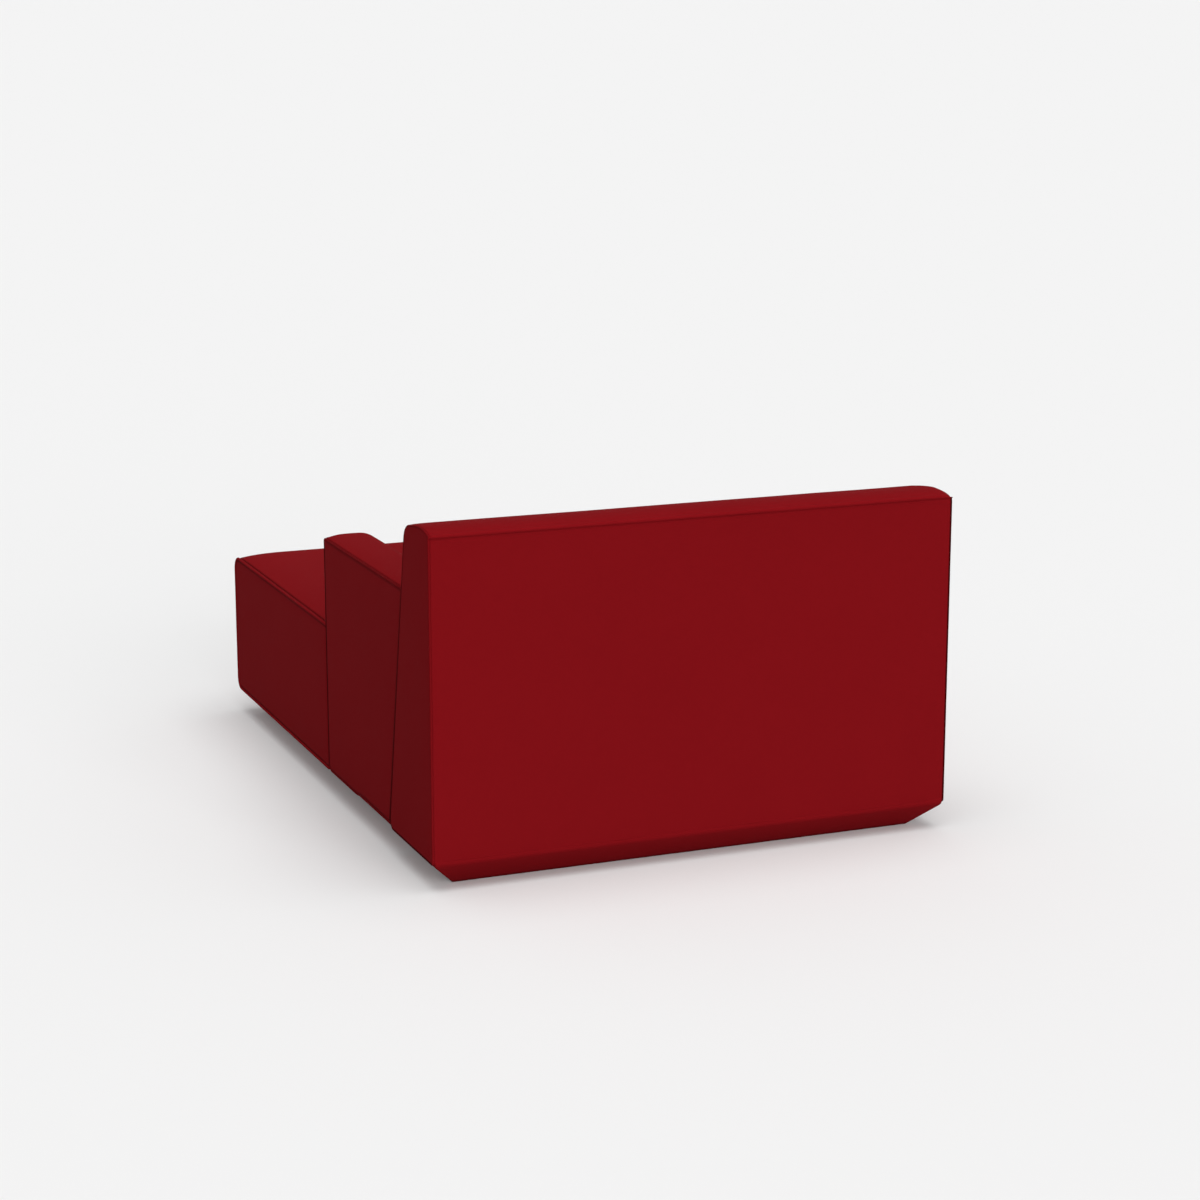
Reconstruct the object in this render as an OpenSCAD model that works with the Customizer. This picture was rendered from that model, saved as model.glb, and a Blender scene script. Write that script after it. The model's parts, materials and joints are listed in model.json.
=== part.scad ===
// Recamiere daybed of three upholstered blocks: an L-shaped seat, one armrest and a wedge-shaped backrest.
// X runs across the seat with the armrest on +X, Y runs to the rear, Z runs up from the floor.

/* [Overall] */
// Width over the raised seams at the backrest's ends
overall_w = 1200; // [1000:5:1500]
// Depth from the seam at the foot end to the seam behind the backrest
overall_d = 1590; // [1500:5:1900]
// Height of the upholstered blocks' lower faces above the floor
body_z = 60; // [54:1:80]

/* [Seat] */
// Height of the seat's side seams above the floor
seat_edge_z = 405; // [385:5:440]
// Rise of the seat's crowned top over its side seams
seat_crown = 15; // [6:1:22]
// How far the seat's side panels stand back from the backrest's ends
seat_set_back = 5; // [3:0.5:10]
// Radius of the seat's upper edge at the foot end
seat_top_r = 34; // [20:1:50]
// Radius of the seat's lower edge at the foot end
seat_low_r = 28; // [18:1:36]

/* [Armrest] */
// Thickness of the armrest between its side panels
arm_w = 126; // [118:1:160]
// Distance from the seam behind the backrest to the armrest's front seam
arm_reach = 764; // [640:2:860]
// Height of the armrest's side seams above the floor
arm_edge_z = 605; // [540:5:660]
// Rise of the armrest's crowned top over its side seams
arm_crown = 10; // [4:1:14]
// How far the armrest's outer panel stands back from the backrest's end
arm_set_back = 2.5; // [2:0.5:6]
// Radius of the armrest's upper front edge
arm_top_r = 16; // [12:1:30]
// Radius of the armrest's lower front edge
arm_low_r = 22; // [12:1:30]

/* [Backrest] */
// Depth of the backrest at its foot
back_foot = 288; // [275:1:330]
// Lean of the backrest's front face in degrees
back_rake = 11.4; // [8:0.1:12]
// Height of the end panels' top above the floor
back_edge_z = 763; // [720:1:820]
// How much lower the top lies at its rear edge
back_rear_drop = 6; // [2:0.5:10]
// Radius of the backrest's upper front edge
back_top_r = 60; // [40:1:66]
// Radius of the backrest's upper rear edge
back_rear_r = 12; // [9:1:20]
// Radius of the backrest's lower front edge
back_low_r = 20; // [12:1:26]
// Rise of the crowned top over the end panels
back_crown = 4; // [2:0.5:6]

/* [Covers] */
// Thickness of the cloth with its backing
cover_t = 2.5; // [2:0.1:3]
// Height of the raised seams over the faces beside them
seam_rise = 4; // [3:0.1:5]
// How far the raised seams stand out beside the side panels
seam_proud = 3; // [2:0.1:3.5]
// Width of the raised seams
seam_w = 7; // [6:0.1:8]
// Depth of the dip that a seam pulls into the cloth behind it
seam_dip = 2; // [1:0.1:2.4]
// Radius of a plain fold of the cover
fold_r = 8; // [7.5:0.1:10]
// Swell of the front, rear and sloping faces
face_crown = 3; // [1:0.1:3]
// Swell of the side panels
panel_crown = 1.5; // [0.5:0.1:2]
// Distance over which the seat's crown rises
seat_reach = 230; // [120:5:300]
// Distance over which the armrest's crown rises
arm_reach_in = 36; // [28:1:50]
// Width of the cover's rim that is folded under the frame
rim_w = 70; // [64:1:80]
// Gap between neighbouring blocks
block_gap = 0.5; // [0.4:0.1:2]

/* [Plinth and glides] */
// Height of the glides under the plinth
glide_h = 4; // [3:0.5:8]
// Radius of a glide
glide_r = 15; // [12:0.5:17]
// Length of a glide's nail
glide_nail = 18; // [12:1:25]
// Radius of a glide's nail
glide_nail_r = 1.5; // [1:0.1:2]
// How far the bevelled plinth draws in under a free side
plinth_inset = 64; // [50:1:70]
// Width of a plinth rail's underside
plinth_rail_w = 38; // [36:1:44]
// Width of the plinth rails that carry the connector bars
joint_rail_w = 90; // [84:1:96]

/* [Frame] */
// Thickness of the seat frame's boards
board_t = 22; // [18:1:25]
// Thickness of the panels in the armrest and the backrest
panel_t = 12; // [9:0.5:15]
// Thickness of the foam sheets outside the seat's frame
pad_t = 20; // [14:1:26]
// Thickness of the foam sheets on the armrest and the backrest
thin_pad_t = 12; // [8:0.5:13]
// Height of the seat frame's side boards
board_h = 190; // [160:5:210]
// Room between the middle rail and the corner block beside the notch
middle_room = 6; // [2:1:40]
// Leg length of a corner block
corner_leg = 60; // [40:1:80]
// Height of a corner block
corner_h = 90; // [60:5:140]
// Thickness of the felt over the springs
felt_t = 4; // [2:0.5:6]
// Width of the armrest's and the backrest's posts and rails
post_w = 45; // [30:1:50]
// Thickness of the foam on the armrest's top
arm_foam_h = 60; // [45:1:80]
// Thickness of the foam on the backrest's sloping face
back_foam_t = 50; // [40:1:54]
// Thickness of the foam over the backrest's top board
back_top_foam_h = 72; // [70:1:90]
// Number of wedge-shaped ribs in the backrest
back_ribs_n = 5; // [3:1:6]
// Number of webbing straps on the backrest
straps_n = 5; // [3:1:6]
// Width of a webbing strap
strap_w = 70; // [50:1:72]
// Thickness of a webbing strap
strap_t = 2; // [1.5:0.1:2.5]
// Thickness of the dust cover
dust_t = 1; // [0.6:0.1:1.4]

/* [Springs] */
// Diameter of the spring wire
wire_d = 4; // [3:0.1:4.4]
// Width of a wave spring over its loops
wave_w = 74; // [70:1:84]
// Longest step from one cross wire of a spring to the next
wave_step = 58; // [50:1:60]
// Thickness of a spring clip's steel
clip_t = 1.5; // [1:0.1:2]
// Number of wave springs in the front bay
front_springs = 7; // [5:1:8]
// Number of wave springs in the rear bay
rear_springs = 6; // [4:1:7]

/* [Connectors] */
// Width of a connector bar
bar_w = 40; // [30:1:46]
// Thickness of a connector bar
bar_t = 5; // [4:0.5:6]
// Radius of a locating pin
pin_r = 6; // [4:0.5:7]
// Height of a locating pin over its bar
pin_h = 32; // [24:1:36]
// Clearance round a locating pin and a bar
pin_gap = 0.4; // [0.35:0.05:0.6]
// Wall of the bush that takes a locating pin
bush_wall = 3; // [2:0.5:4]
// Distance from a locating pin to the face that it stands beside
pin_in = 30; // [27:1:33]
// Distance of the armrest's pins from its ends
arm_pin_at = 130; // [125:5:160]
// Distance of the backrest's pins from its middle
back_pin_at = 330; // [250:5:360]
// Radius of a connector screw's shank
screw_r = 2.5; // [2:0.1:3]
// Length of a connector screw
screw_l = 30; // [20:1:40]
// Radius of a connector screw's head
screw_head_r = 5; // [4:0.1:6]
// Height of a connector screw's head
screw_head_h = 2; // [1:0.1:2.5]

/* [Hidden] */
half_w = overall_w / 2;
half_d = overall_d / 2;
// Overrun of all cutting solids
over = 30;
// Clearance between foam or frame and the cloth round it
fit_gap = 0.3;
// Clearance between a foam's cut face and what lies on it, and round a nail or a bush
lay_gap = 0.1;
lean = tan(back_rake);
red = "#8a1218";
dark_red = "#650d12";
foam_colour = "#e9dfbe";
timber = "#c9a26b";
ply = "#b98c56";
steel = "#8f9498";
black = "#202022";
felt_colour = "#6f7175";

// Planes of the side panels
back_x = half_w - seam_proud;
seat_x = back_x - seat_set_back;
arm_x1 = back_x - arm_set_back;
arm_x0 = arm_x1 - arm_w;
notch_x = arm_x0 - seam_proud - block_gap;

// Faces along Y
rear_y = half_d - seam_rise;
front_y = seam_rise - half_d;
arm_y = half_d - arm_reach + seam_rise;
notch_y = arm_y - seam_rise - block_gap;
back_foot_y = rear_y - back_foot;
face_gap = (2 * seam_rise + block_gap) / cos(back_rake);
function back_front_y(z) = back_foot_y + (z - body_z) * lean;
function rest_rear_y(z) = back_front_y(z) - face_gap;

// Heights
frame_z = body_z + cover_t;
board_top = frame_z + board_h;
wire_z = board_top - felt_t - clip_t - wire_d / 2;
rail_top = wire_z - wire_d / 2 - clip_t;
arm_foam_z = arm_edge_z - arm_foam_h;
back_top_z = back_edge_z - back_top_foam_h;
skin = cover_t + fit_gap;

// Shares of a face's length at which its form has points, closer together towards the edges
long_shares = [0.03, 0.1, 0.22, 0.4, 0.6, 0.78, 0.9, 0.97];
tall_shares = [0.12, 0.5, 0.88];
plain_shares = [0.5];
wide_row_shares = [0.08, 0.2, 0.4, 0.6, 0.8, 0.92];
seat_row_shares = [0.09, 0.25, 0.45, 0.65, 0.83, 0.94];
slim_row_shares = [0.33, 0.5, 0.67];

function unit2(v) = v / norm(v);
function turn_of(a, b) = (b - a + 720) % 360;
function swell(t) = t >= 1 ? 1 : t <= 0 ? 0 : 1 - (1 - t) * (1 - t);

// Points of one rounded corner: place, outward direction, crown of the face, distance to the face's edge
function corner_points(p0, p1, p2, r, steps) =
    let (u = unit2(p1 - p0), w = unit2(p2 - p1))
    let (a = atan2(-u.x, u.y), turn = turn_of(a, atan2(-w.x, w.y)))
    let (centre = p1 - u * r * tan(turn / 2) - [u.y, -u.x] * r)
    [for (i = [0:steps])
        let (b = a + turn * i / steps, n = [cos(b), sin(b)])
        concat(centre + n * r, n, [0, 0])];

// Points along the straight face between two corners
function face_points(from, to, crown, shares) =
    let (p = [from[0], from[1]], q = [to[0], to[1]], run = norm(q - p))
    [for (s = shares) concat(p + (q - p) * s, [to[2], to[3]], [crown, run * min(s, 1 - s)])];

// Closed outline in the YZ plane, with a radius and a number of steps per corner and a crown per face
function outline(corners, radii, steps, crowns, shares) =
    let (n = len(corners))
    let (arcs = [for (i = [0:n - 1])
        corner_points(corners[(i + n - 1) % n], corners[i], corners[(i + 1) % n], radii[i], steps[i])])
    [for (i = [0:n - 1])
        each concat(arcs[i],
            face_points(arcs[i][steps[i]], arcs[(i + 1) % n][0], crowns[i], shares[i]))];

// Section of a raised seam, from the side panel over the seam and its dip to the face behind:
// distance in from the panel's plane, and height over the outline
seam_section = [
    [0, -seam_w * 0.8],
    [-seam_proud, -seam_w * 0.25],
    [-seam_proud * 0.8, seam_rise * 0.6],
    [seam_w * 0.2, seam_rise],
    [seam_w * 0.7, seam_rise * 0.5],
    [seam_w * 1.3, -seam_dip],
    [seam_w * 3, -seam_dip * 0.3]
];
function inner_section(inset) = [
    [inset, -seam_dip * 1.5],
    [seam_w * 3, -seam_dip * 0.8]
];

// Rows across a block: place along X, distance from the nearer side panel, height over the outline
function rows_of(x0, x1, section, middle) = concat(
    [for (r = section) [x0 + r[0], max(0, r[0]), r[1]]],
    [for (x = middle) [x, min(x - x0, x1 - x), 0]],
    [for (i = [len(section) - 1:-1:0]) [x1 - section[i][0], max(0, section[i][0]), section[i][1]]]);

// Distance to the notch that the armrest stands in; far away for a block without one
function notch_distance(x, y, notched) =
    notched ? norm([max(0, notch_x - x), max(0, notch_y - y)]) : overall_d;

// Height over the outline at one point; the flat underside has no dips
function height_at(row, point, inset, reach, notched) =
    let (near = min(row[1], point[5], notch_distance(row[0], point[0], notched)))
    let (dip = row[2] < 0 && point[3] < -0.7 && row[1] > 0 ? 0 : row[2])
    dip + point[4] * swell(near / reach) - inset;

function mean(ring) = let (n = len(ring)) [for (k = [0, 1]) [for (p = ring) p[k]] * [for (p = ring) 1 / n]];

// Closed crowned form through all rows; its two side panels swell a little towards their middles
module crowned_form(ring, rows, inset, reach, notched = false) {
    n = len(ring);
    m = len(rows);
    points = [for (row = rows)
        for (point = ring)
            let (h = height_at(row, point, inset, reach, notched))
            [row[0], point[0] + point[2] * h, point[1] + point[3] * h]];
    sides = [for (i = [0:m - 2])
        for (j = [0:n - 1])
            let (a = i * n + j, b = i * n + (j + 1) % n)
            each [[a, a + n, b + n], [a, b + n, b]]];
    centre = [for (row = [rows[0], rows[m - 1]])
        let (middle = mean(ring))
        [row[0] + (row[0] < rows[m / 2][0] ? -1 : 1) * panel_crown, middle.x, middle.y]];
    near_cap = [for (j = [0:n - 1]) [n * m, j, (j + 1) % n]];
    far_cap = [for (j = [0:n - 1]) [n * m + 1, (m - 1) * n + (j + 1) % n, (m - 1) * n + j]];
    polyhedron(concat(points, centre), concat(sides, near_cap, far_cap));
}

module box_span(x, y, z) {
    translate([x[0], y[0], z[0]])
        cube([x[1] - x[0], y[1] - y[0], z[1] - z[0]]);
}

// Outline in the YZ plane, carried along X
module yz_prism(points, x0, x1) {
    translate([x0, 0, 0])
        rotate([90, 0, 90])
            linear_extrude(x1 - x0)
                polygon(points);
}

// Outline in the XZ plane, carried along Y
module xz_prism(points, y0, y1) {
    translate([0, y1, 0])
        rotate([90, 0, 0])
            linear_extrude(y1 - y0)
                polygon(points);
}

// The three upholstered volumes, drawn in by an inset
seat_ring = outline(
    [[front_y, body_z], [rest_rear_y(body_z), body_z],
     [rest_rear_y(seat_edge_z), seat_edge_z], [front_y, seat_edge_z]],
    [seat_low_r, fold_r, fold_r, seat_top_r], [3, 2, 2, 4],
    [0, face_crown, seat_crown, face_crown], [plain_shares, tall_shares, long_shares, tall_shares]);
seat_middle = concat(
    [for (s = seat_row_shares) -seat_x + (notch_x + seat_x) * s],
    [notch_x, (notch_x + seat_x) / 2]);

arm_ring = outline(
    [[arm_y, body_z], [rest_rear_y(body_z), body_z],
     [rest_rear_y(arm_edge_z), arm_edge_z], [arm_y, arm_edge_z]],
    [arm_low_r, fold_r, fold_r, arm_top_r], [3, 2, 2, 3],
    [0, face_crown, arm_crown, face_crown], [plain_shares, tall_shares, long_shares, tall_shares]);
arm_middle = [for (s = slim_row_shares) arm_x0 + arm_w * s];

back_ring = outline(
    [[back_foot_y, body_z], [rear_y, body_z],
     [rear_y, back_edge_z - back_rear_drop], [back_front_y(back_edge_z), back_edge_z]],
    [back_low_r, fold_r, back_rear_r, back_top_r], [3, 2, 3, 6],
    [0, face_crown / 3, back_crown, face_crown], [plain_shares, tall_shares, plain_shares, long_shares]);
back_middle = [for (s = wide_row_shares) back_x * (2 * s - 1)];

function section_of(inset) = inset > 0 ? inner_section(inset) : seam_section;

module notch_box(grow) {
    box_span([notch_x - grow, half_w + over], [notch_y - grow, half_d], [-over, back_edge_z]);
}

module seat_volume(inset) {
    difference() {
        crowned_form(seat_ring, rows_of(-seat_x, seat_x, section_of(inset), seat_middle), inset, seat_reach, true);
        notch_box(inset);
    }
}

module arm_volume(inset) {
    crowned_form(arm_ring, rows_of(arm_x0, arm_x1, section_of(inset), arm_middle), inset, arm_reach_in);
}

module back_volume(inset) {
    crowned_form(back_ring, rows_of(-back_x, back_x, section_of(inset), back_middle), inset, seat_reach / 4);
}

// Seat: faces of the frame inside the foam sheets
frame_x0 = -seat_x + skin + pad_t;
frame_x1 = seat_x - skin - pad_t;
frame_y0 = front_y + max(skin + pad_t, seat_low_r + fit_gap);
frame_y1 = rest_rear_y(body_z) - skin - pad_t;
inner_x = notch_x - skin;
inner_y = notch_y - skin;
middle_y = inner_y - board_t - corner_leg - middle_room - board_t / 2;
outside = overall_d;
frame_span = [frame_z, board_top];
pad_span = [frame_z - cover_t, board_top];

module seat_cover() {
    color(red)
        difference() {
            seat_volume(0);
            seat_volume(cover_t);
            difference() {
                box_span([-seat_x + rim_w, seat_x - rim_w],
                    [front_y + rim_w, rest_rear_y(body_z) - rim_w], [body_z - over, body_z + over]);
                notch_box(rim_w);
            }
        }
}

module seat_foam_front() {
    color(foam_colour)
        intersection() {
            seat_volume(skin);
            box_span([-half_w, half_w], [-outside, inner_y], [board_top, seat_edge_z + over]);
        }
}

module seat_foam_rear() {
    color(foam_colour)
        intersection() {
            seat_volume(skin);
            box_span([-half_w, inner_x], [inner_y, outside], [board_top, seat_edge_z + over]);
        }
}

module seat_front_pad() {
    color(foam_colour)
        intersection() {
            seat_volume(skin);
            box_span([-half_w, half_w], [-outside, frame_y0], pad_span);
        }
}

module seat_left_pad() {
    color(foam_colour)
        intersection() {
            seat_volume(skin);
            box_span([-half_w, frame_x0], [frame_y0, frame_y1], pad_span);
        }
}

module seat_right_pad() {
    color(foam_colour)
        intersection() {
            seat_volume(skin);
            box_span([frame_x1, half_w], [frame_y0, inner_y], pad_span);
        }
}

module seat_rear_pad() {
    color(foam_colour)
        intersection() {
            seat_volume(skin);
            box_span([-half_w, inner_x], [frame_y1, outside], pad_span);
        }
}

module seat_felt() {
    color(felt_colour) {
        difference() {
            box_span([frame_x0 + board_t, frame_x1 - board_t], [frame_y0, frame_y1], [board_top - felt_t, board_top]);
            box_span([inner_x - board_t, half_w], [inner_y - board_t, outside], [frame_z, board_top + over]);
        }
    }
}

module seat_front_board() {
    color(timber)
        box_span([frame_x0, frame_x1], [frame_y0, frame_y0 + board_t], [frame_z, rail_top]);
}

module seat_left_board() {
    color(timber)
        box_span([frame_x0, frame_x0 + board_t], [frame_y0 + board_t, frame_y1 - board_t], frame_span);
}

module seat_right_board() {
    color(timber)
        box_span([frame_x1 - board_t, frame_x1], [frame_y0 + board_t, inner_y - board_t], frame_span);
}

module seat_notch_board() {
    color(timber)
        box_span([inner_x - board_t, frame_x1], [inner_y - board_t, inner_y], frame_span);
}

module seat_inner_board() {
    color(timber)
        box_span([inner_x - board_t, inner_x], [inner_y, frame_y1 - board_t], frame_span);
}

module seat_rear_board() {
    color(timber)
        box_span([frame_x0, inner_x], [frame_y1 - board_t, frame_y1], [frame_z, rail_top]);
}

module seat_middle_rail() {
    color(timber)
        box_span([frame_x0 + board_t, frame_x1 - board_t],
            [middle_y - board_t / 2, middle_y + board_t / 2], [frame_z, rail_top]);
}

// Glued blocks in the frame's corners: place of the corner and the two ways into the frame
block_corners = [
    [frame_x0 + board_t, frame_y0 + board_t, 1, 1],
    [frame_x1 - board_t, frame_y0 + board_t, -1, 1],
    [frame_x1 - board_t, inner_y - board_t, -1, -1],
    [frame_x0 + board_t, frame_y1 - board_t, 1, -1],
    [inner_x - board_t, frame_y1 - board_t, -1, -1]
];

module seat_corner_blocks() {
    color(timber)
        for (c = block_corners)
            translate([c[0], c[1], frame_z])
                linear_extrude(corner_h)
                    polygon([[0, 0], [c[2] * corner_leg, 0], [0, c[3] * corner_leg]]);
}

// Wave springs: cross wires along X, joined by half circles in turn at either end
front_run = [frame_y0 + board_t / 2, middle_y - board_t / 4];
rear_run = [middle_y + board_t / 4, frame_y1 - board_t / 2];
front_xs = spread(frame_x0 + board_t, frame_x1 - board_t, front_springs);
rear_xs = spread(frame_x0 + board_t, inner_x - board_t, rear_springs);
function spread(from, to, n) = [for (i = [0:n - 1]) from + (to - from) * (i + 0.5) / n];
function steps_of(run) = 2 * ceil((run[1] - run[0]) / (2 * wave_step));

module wave_spring(x, run) {
    steps = steps_of(run);
    step = (run[1] - run[0]) / steps;
    cross = (wave_w - wire_d - step) / 2;
    translate([x, run[0], wire_z - wire_d / 2])
        linear_extrude(wire_d) {
            for (i = [0:steps])
                let (y0 = i * step - wire_d / 2, y1 = i * step + wire_d / 2)
                    polygon([[-cross, y0], [cross, y0], [cross, y1], [-cross, y1]]);
            for (i = [0:steps - 1])
                translate([(i % 2 == 0 ? 1 : -1) * cross, (i + 0.5) * step])
                    difference() {
                        circle(r = (step + wire_d) / 2, $fn = 48);
                        circle(r = (step - wire_d) / 2, $fn = 48);
                        translate([i % 2 == 0 ? -2 * step : 0, -step])
                            square(2 * step);
                    }
        }
}

module seat_springs() {
    color(steel) {
        for (x = front_xs)
            wave_spring(x, front_run);
        for (x = rear_xs)
            wave_spring(x, rear_run);
    }
}

// A clip is a folded strip, open towards its spring
clip_w = wave_w / 3;
clip_l = board_t / 4 + wire_d / 2;

module spring_clip(x, y, way) {
    translate([x - clip_w / 2, y, wire_z])
        scale([1, way, 1]) {
            box_span([0, clip_w], [-clip_l / 2, clip_l / 2], [-wire_d / 2 - clip_t, -wire_d / 2]);
            box_span([0, clip_w], [-clip_l / 2, clip_l / 2], [wire_d / 2, wire_d / 2 + clip_t]);
            box_span([0, clip_w], [-clip_l / 2, -wire_d / 2 - fit_gap], [-wire_d / 2 - clip_t, wire_d / 2 + clip_t]);
        }
}

module spring_clips() {
    color(steel) {
        for (x = front_xs) {
            spring_clip(x, front_run[0], 1);
            spring_clip(x, front_run[1], -1);
        }
        for (x = rear_xs) {
            spring_clip(x, rear_run[0], 1);
            spring_clip(x, rear_run[1], -1);
        }
    }
}

// Bevelled plinths: the free sides draw in towards the floor, the sides at a joint stand upright
bevel_h = body_z - glide_h;
plinth_span = [glide_h, body_z];
seam_in = seam_w * 1.5;
side_run = plinth_inset - seam_in;
bevel_skin = cover_t * norm([side_run, bevel_h]) / bevel_h;

// Place of a bevelled face at a height, from its places at the top and at the floor end
function bevel_at(top, low, z) = top + (low - top) * (body_z - z) / bevel_h;

// Section between two faces, each given by its place at the top and at the floor end
function bevel_section(a, b, grow) =
    let (z0 = glide_h - grow, z1 = body_z + grow)
    [[bevel_at(a[0], a[1], z0), z0], [bevel_at(b[0], b[1], z0), z0],
     [bevel_at(b[0], b[1], z1), z1], [bevel_at(a[0], a[1], z1), z1]];

module bevel_block(left, right, front, rear, inset, grow) {
    intersection() {
        xz_prism(bevel_section(left + [inset, inset], right - [inset, inset], grow), -half_d, half_d);
        yz_prism(bevel_section(front + [inset, inset], rear - [inset, inset], grow), -half_w, half_w);
    }
}

seat_low_x = seat_x - plinth_inset;
seat_low_y = front_y + plinth_inset;
seat_low_rear = rest_rear_y(body_z) - fold_r;

module seat_bevel(inset, grow) {
    difference() {
        bevel_block([seam_in - seat_x, -seat_low_x], [seat_x - seam_in, seat_low_x],
            [front_y + seat_low_r, seat_low_y], [seat_low_rear, seat_low_rear], inset, grow);
        notch_box(inset + fit_gap);
    }
}

module seat_base_cover() {
    color(dark_red)
        difference() {
            seat_bevel(0, 0);
            seat_bevel(bevel_skin, over);
            arm_bars(pin_gap);
            back_bars(pin_gap);
        }
}

rail_x = seat_low_x - bevel_skin - plinth_rail_w;
rail_y0 = seat_low_y + bevel_skin + plinth_rail_w;
rail_y1 = seat_low_rear - bevel_skin - joint_rail_w;
joint_x = notch_x - fit_gap - bevel_skin - joint_rail_w;
joint_y = notch_y - fit_gap - bevel_skin - plinth_rail_w;

module seat_plinth_part(x, y) {
    intersection() {
        seat_bevel(bevel_skin, 0);
        box_span(x, y, plinth_span);
    }
}

module seat_plinth_front() {
    color(timber)
        difference() {
            seat_plinth_part([-half_w, half_w], [-half_d, rail_y0]);
            glide_holes();
        }
}

module seat_plinth_left() {
    color(timber)
        difference() {
            seat_plinth_part([-half_w, -rail_x], [rail_y0, rail_y1]);
            glide_holes();
        }
}

module seat_plinth_right() {
    color(timber)
        difference() {
            seat_plinth_part([rail_x, half_w], [rail_y0, half_d]);
            glide_holes();
        }
}

module seat_plinth_inner() {
    color(timber)
        difference() {
            seat_plinth_part([joint_x, half_w], [joint_y, rail_y1]);
            box_span([rail_x, half_w], [rail_y0, half_d], plinth_span + [-over, over]);
            arm_bars(0);
            screw_holes();
            glide_holes();
        }
}

module seat_plinth_rear() {
    color(timber)
        difference() {
            seat_plinth_part([-half_w, half_w], [rail_y1, half_d]);
            arm_bars(0);
            back_bars(0);
            screw_holes();
            glide_holes();
        }
}

module seat_dust_cover() {
    color(black)
        difference() {
            box_span([-rail_x, rail_x], [rail_y0, rail_y1], [glide_h, glide_h + dust_t]);
            box_span([joint_x, half_w], [joint_y, half_d], plinth_span + [-over, over]);
        }
}

// Connector bars with upright pins, let into the undersides of the plinths
arm_pin_x = arm_x0 + pin_in;
arm_pin_ys = [arm_y + arm_pin_at, rest_rear_y(body_z) - arm_pin_at];
back_pin_y = back_foot_y + pin_in + fold_r;
back_pin_xs = [-back_pin_at, back_pin_at];
bar_top = glide_h + bar_t;
bar_in = joint_rail_w * 0.9;
screw_shares = [0.25, 0.7];
arm_bar_x = [notch_x - bar_in, arm_pin_x + bar_w / 2];
back_bar_y = [seat_low_rear - bar_in, back_pin_y + bar_w / 2];

module arm_bars(grow) {
    for (y = arm_pin_ys)
        box_span(arm_bar_x + [-grow, grow], [y - bar_w / 2 - grow, y + bar_w / 2 + grow],
            [glide_h - grow, bar_top + grow]);
}

module back_bars(grow) {
    for (x = back_pin_xs)
        box_span([x - bar_w / 2 - grow, x + bar_w / 2 + grow], back_bar_y + [-grow, grow],
            [glide_h - grow, bar_top + grow]);
}

// A pin with a coned end; its axis leans back like the block that it locates
module pin(length, r) {
    cylinder(h = length - r, r = r, $fn = 48);
    translate([0, 0, length - r])
        cylinder(h = r, r1 = r, r2 = r / 2, $fn = 48);
}

module at_arm_pins() {
    for (y = arm_pin_ys)
        translate([arm_pin_x, y, bar_top])
            children();
}

module at_back_pins() {
    for (x = back_pin_xs)
        translate([x, back_pin_y, bar_top])
            rotate([-back_rake, 0, 0])
                children();
}

screw_places = concat(
    [for (y = arm_pin_ys) for (s = screw_shares) [notch_x - bar_in * s, y]],
    [for (x = back_pin_xs) for (s = screw_shares) [x, seat_low_rear - bar_in * s]]);

module screw_holes() {
    for (p = screw_places)
        translate([p.x, p.y, glide_h - over])
            cylinder(h = over + screw_l + fit_gap, r = screw_r, $fn = 32);
}

module arm_connectors() {
    color(steel)
        difference() {
            union() {
                arm_bars(0);
                translate([0, 0, -bar_t / 2])
                    at_arm_pins()
                        pin(pin_h + bar_t / 2, pin_r);
            }
            screw_holes();
        }
}

module back_connectors() {
    color(steel)
        difference() {
            union() {
                back_bars(0);
                at_back_pins()
                    translate([0, 0, -bar_t / 2])
                        pin(pin_h + bar_t / 2, pin_r);
            }
            screw_holes();
        }
}

module connector_screws() {
    color(steel)
        for (p = screw_places)
            translate([p.x, p.y, glide_h]) {
                cylinder(h = screw_l, r = screw_r - lay_gap, $fn = 32);
                translate([0, 0, -screw_head_h])
                    cylinder(h = screw_head_h, r1 = screw_head_r - screw_head_h / 2, r2 = screw_head_r, $fn = 32);
            }
}

// Glides: a disc with a rounded rim on a nail
seat_glides_at = [
    [-seat_low_x + bevel_skin + plinth_rail_w / 2, seat_low_y + bevel_skin + plinth_rail_w / 2],
    [seat_low_x - bevel_skin - plinth_rail_w / 2, seat_low_y + bevel_skin + plinth_rail_w / 2],
    [-seat_low_x + bevel_skin + plinth_rail_w / 2, middle_y],
    [seat_low_x - bevel_skin - plinth_rail_w / 2, middle_y],
    [-seat_low_x + bevel_skin + plinth_rail_w / 2, seat_low_rear - plinth_rail_w],
    [notch_x - plinth_rail_w, seat_low_rear - plinth_rail_w]
];
arm_glide_x = arm_pin_x;
arm_glides_at = [
    [arm_glide_x, arm_y + arm_pin_at / 2],
    [arm_glide_x, rest_rear_y(body_z) - arm_pin_at / 2]
];
back_low_x = back_x - plinth_inset;
back_low_y = rear_y - plinth_inset;
back_glide_x = back_low_x - bevel_skin - plinth_rail_w / 2;
back_front_glide_y = back_foot_y + fold_r + pin_in;
back_rear_glide_y = back_low_y - bevel_skin - plinth_rail_w / 2;
back_glides_at = [
    [-back_glide_x, back_front_glide_y], [back_glide_x, back_front_glide_y],
    [-back_glide_x, back_rear_glide_y], [back_glide_x, back_rear_glide_y]
];

module glides(places) {
    color(black)
        for (p = places)
            translate([p.x, p.y, 0]) {
                cylinder(h = glide_h / 2, r1 = glide_r - glide_h / 4, r2 = glide_r, $fn = 48);
                translate([0, 0, glide_h / 2])
                    cylinder(h = glide_h / 2, r = glide_r, $fn = 48);
                cylinder(h = glide_h + glide_nail, r = glide_nail_r, $fn = 24);
            }
}

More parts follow.
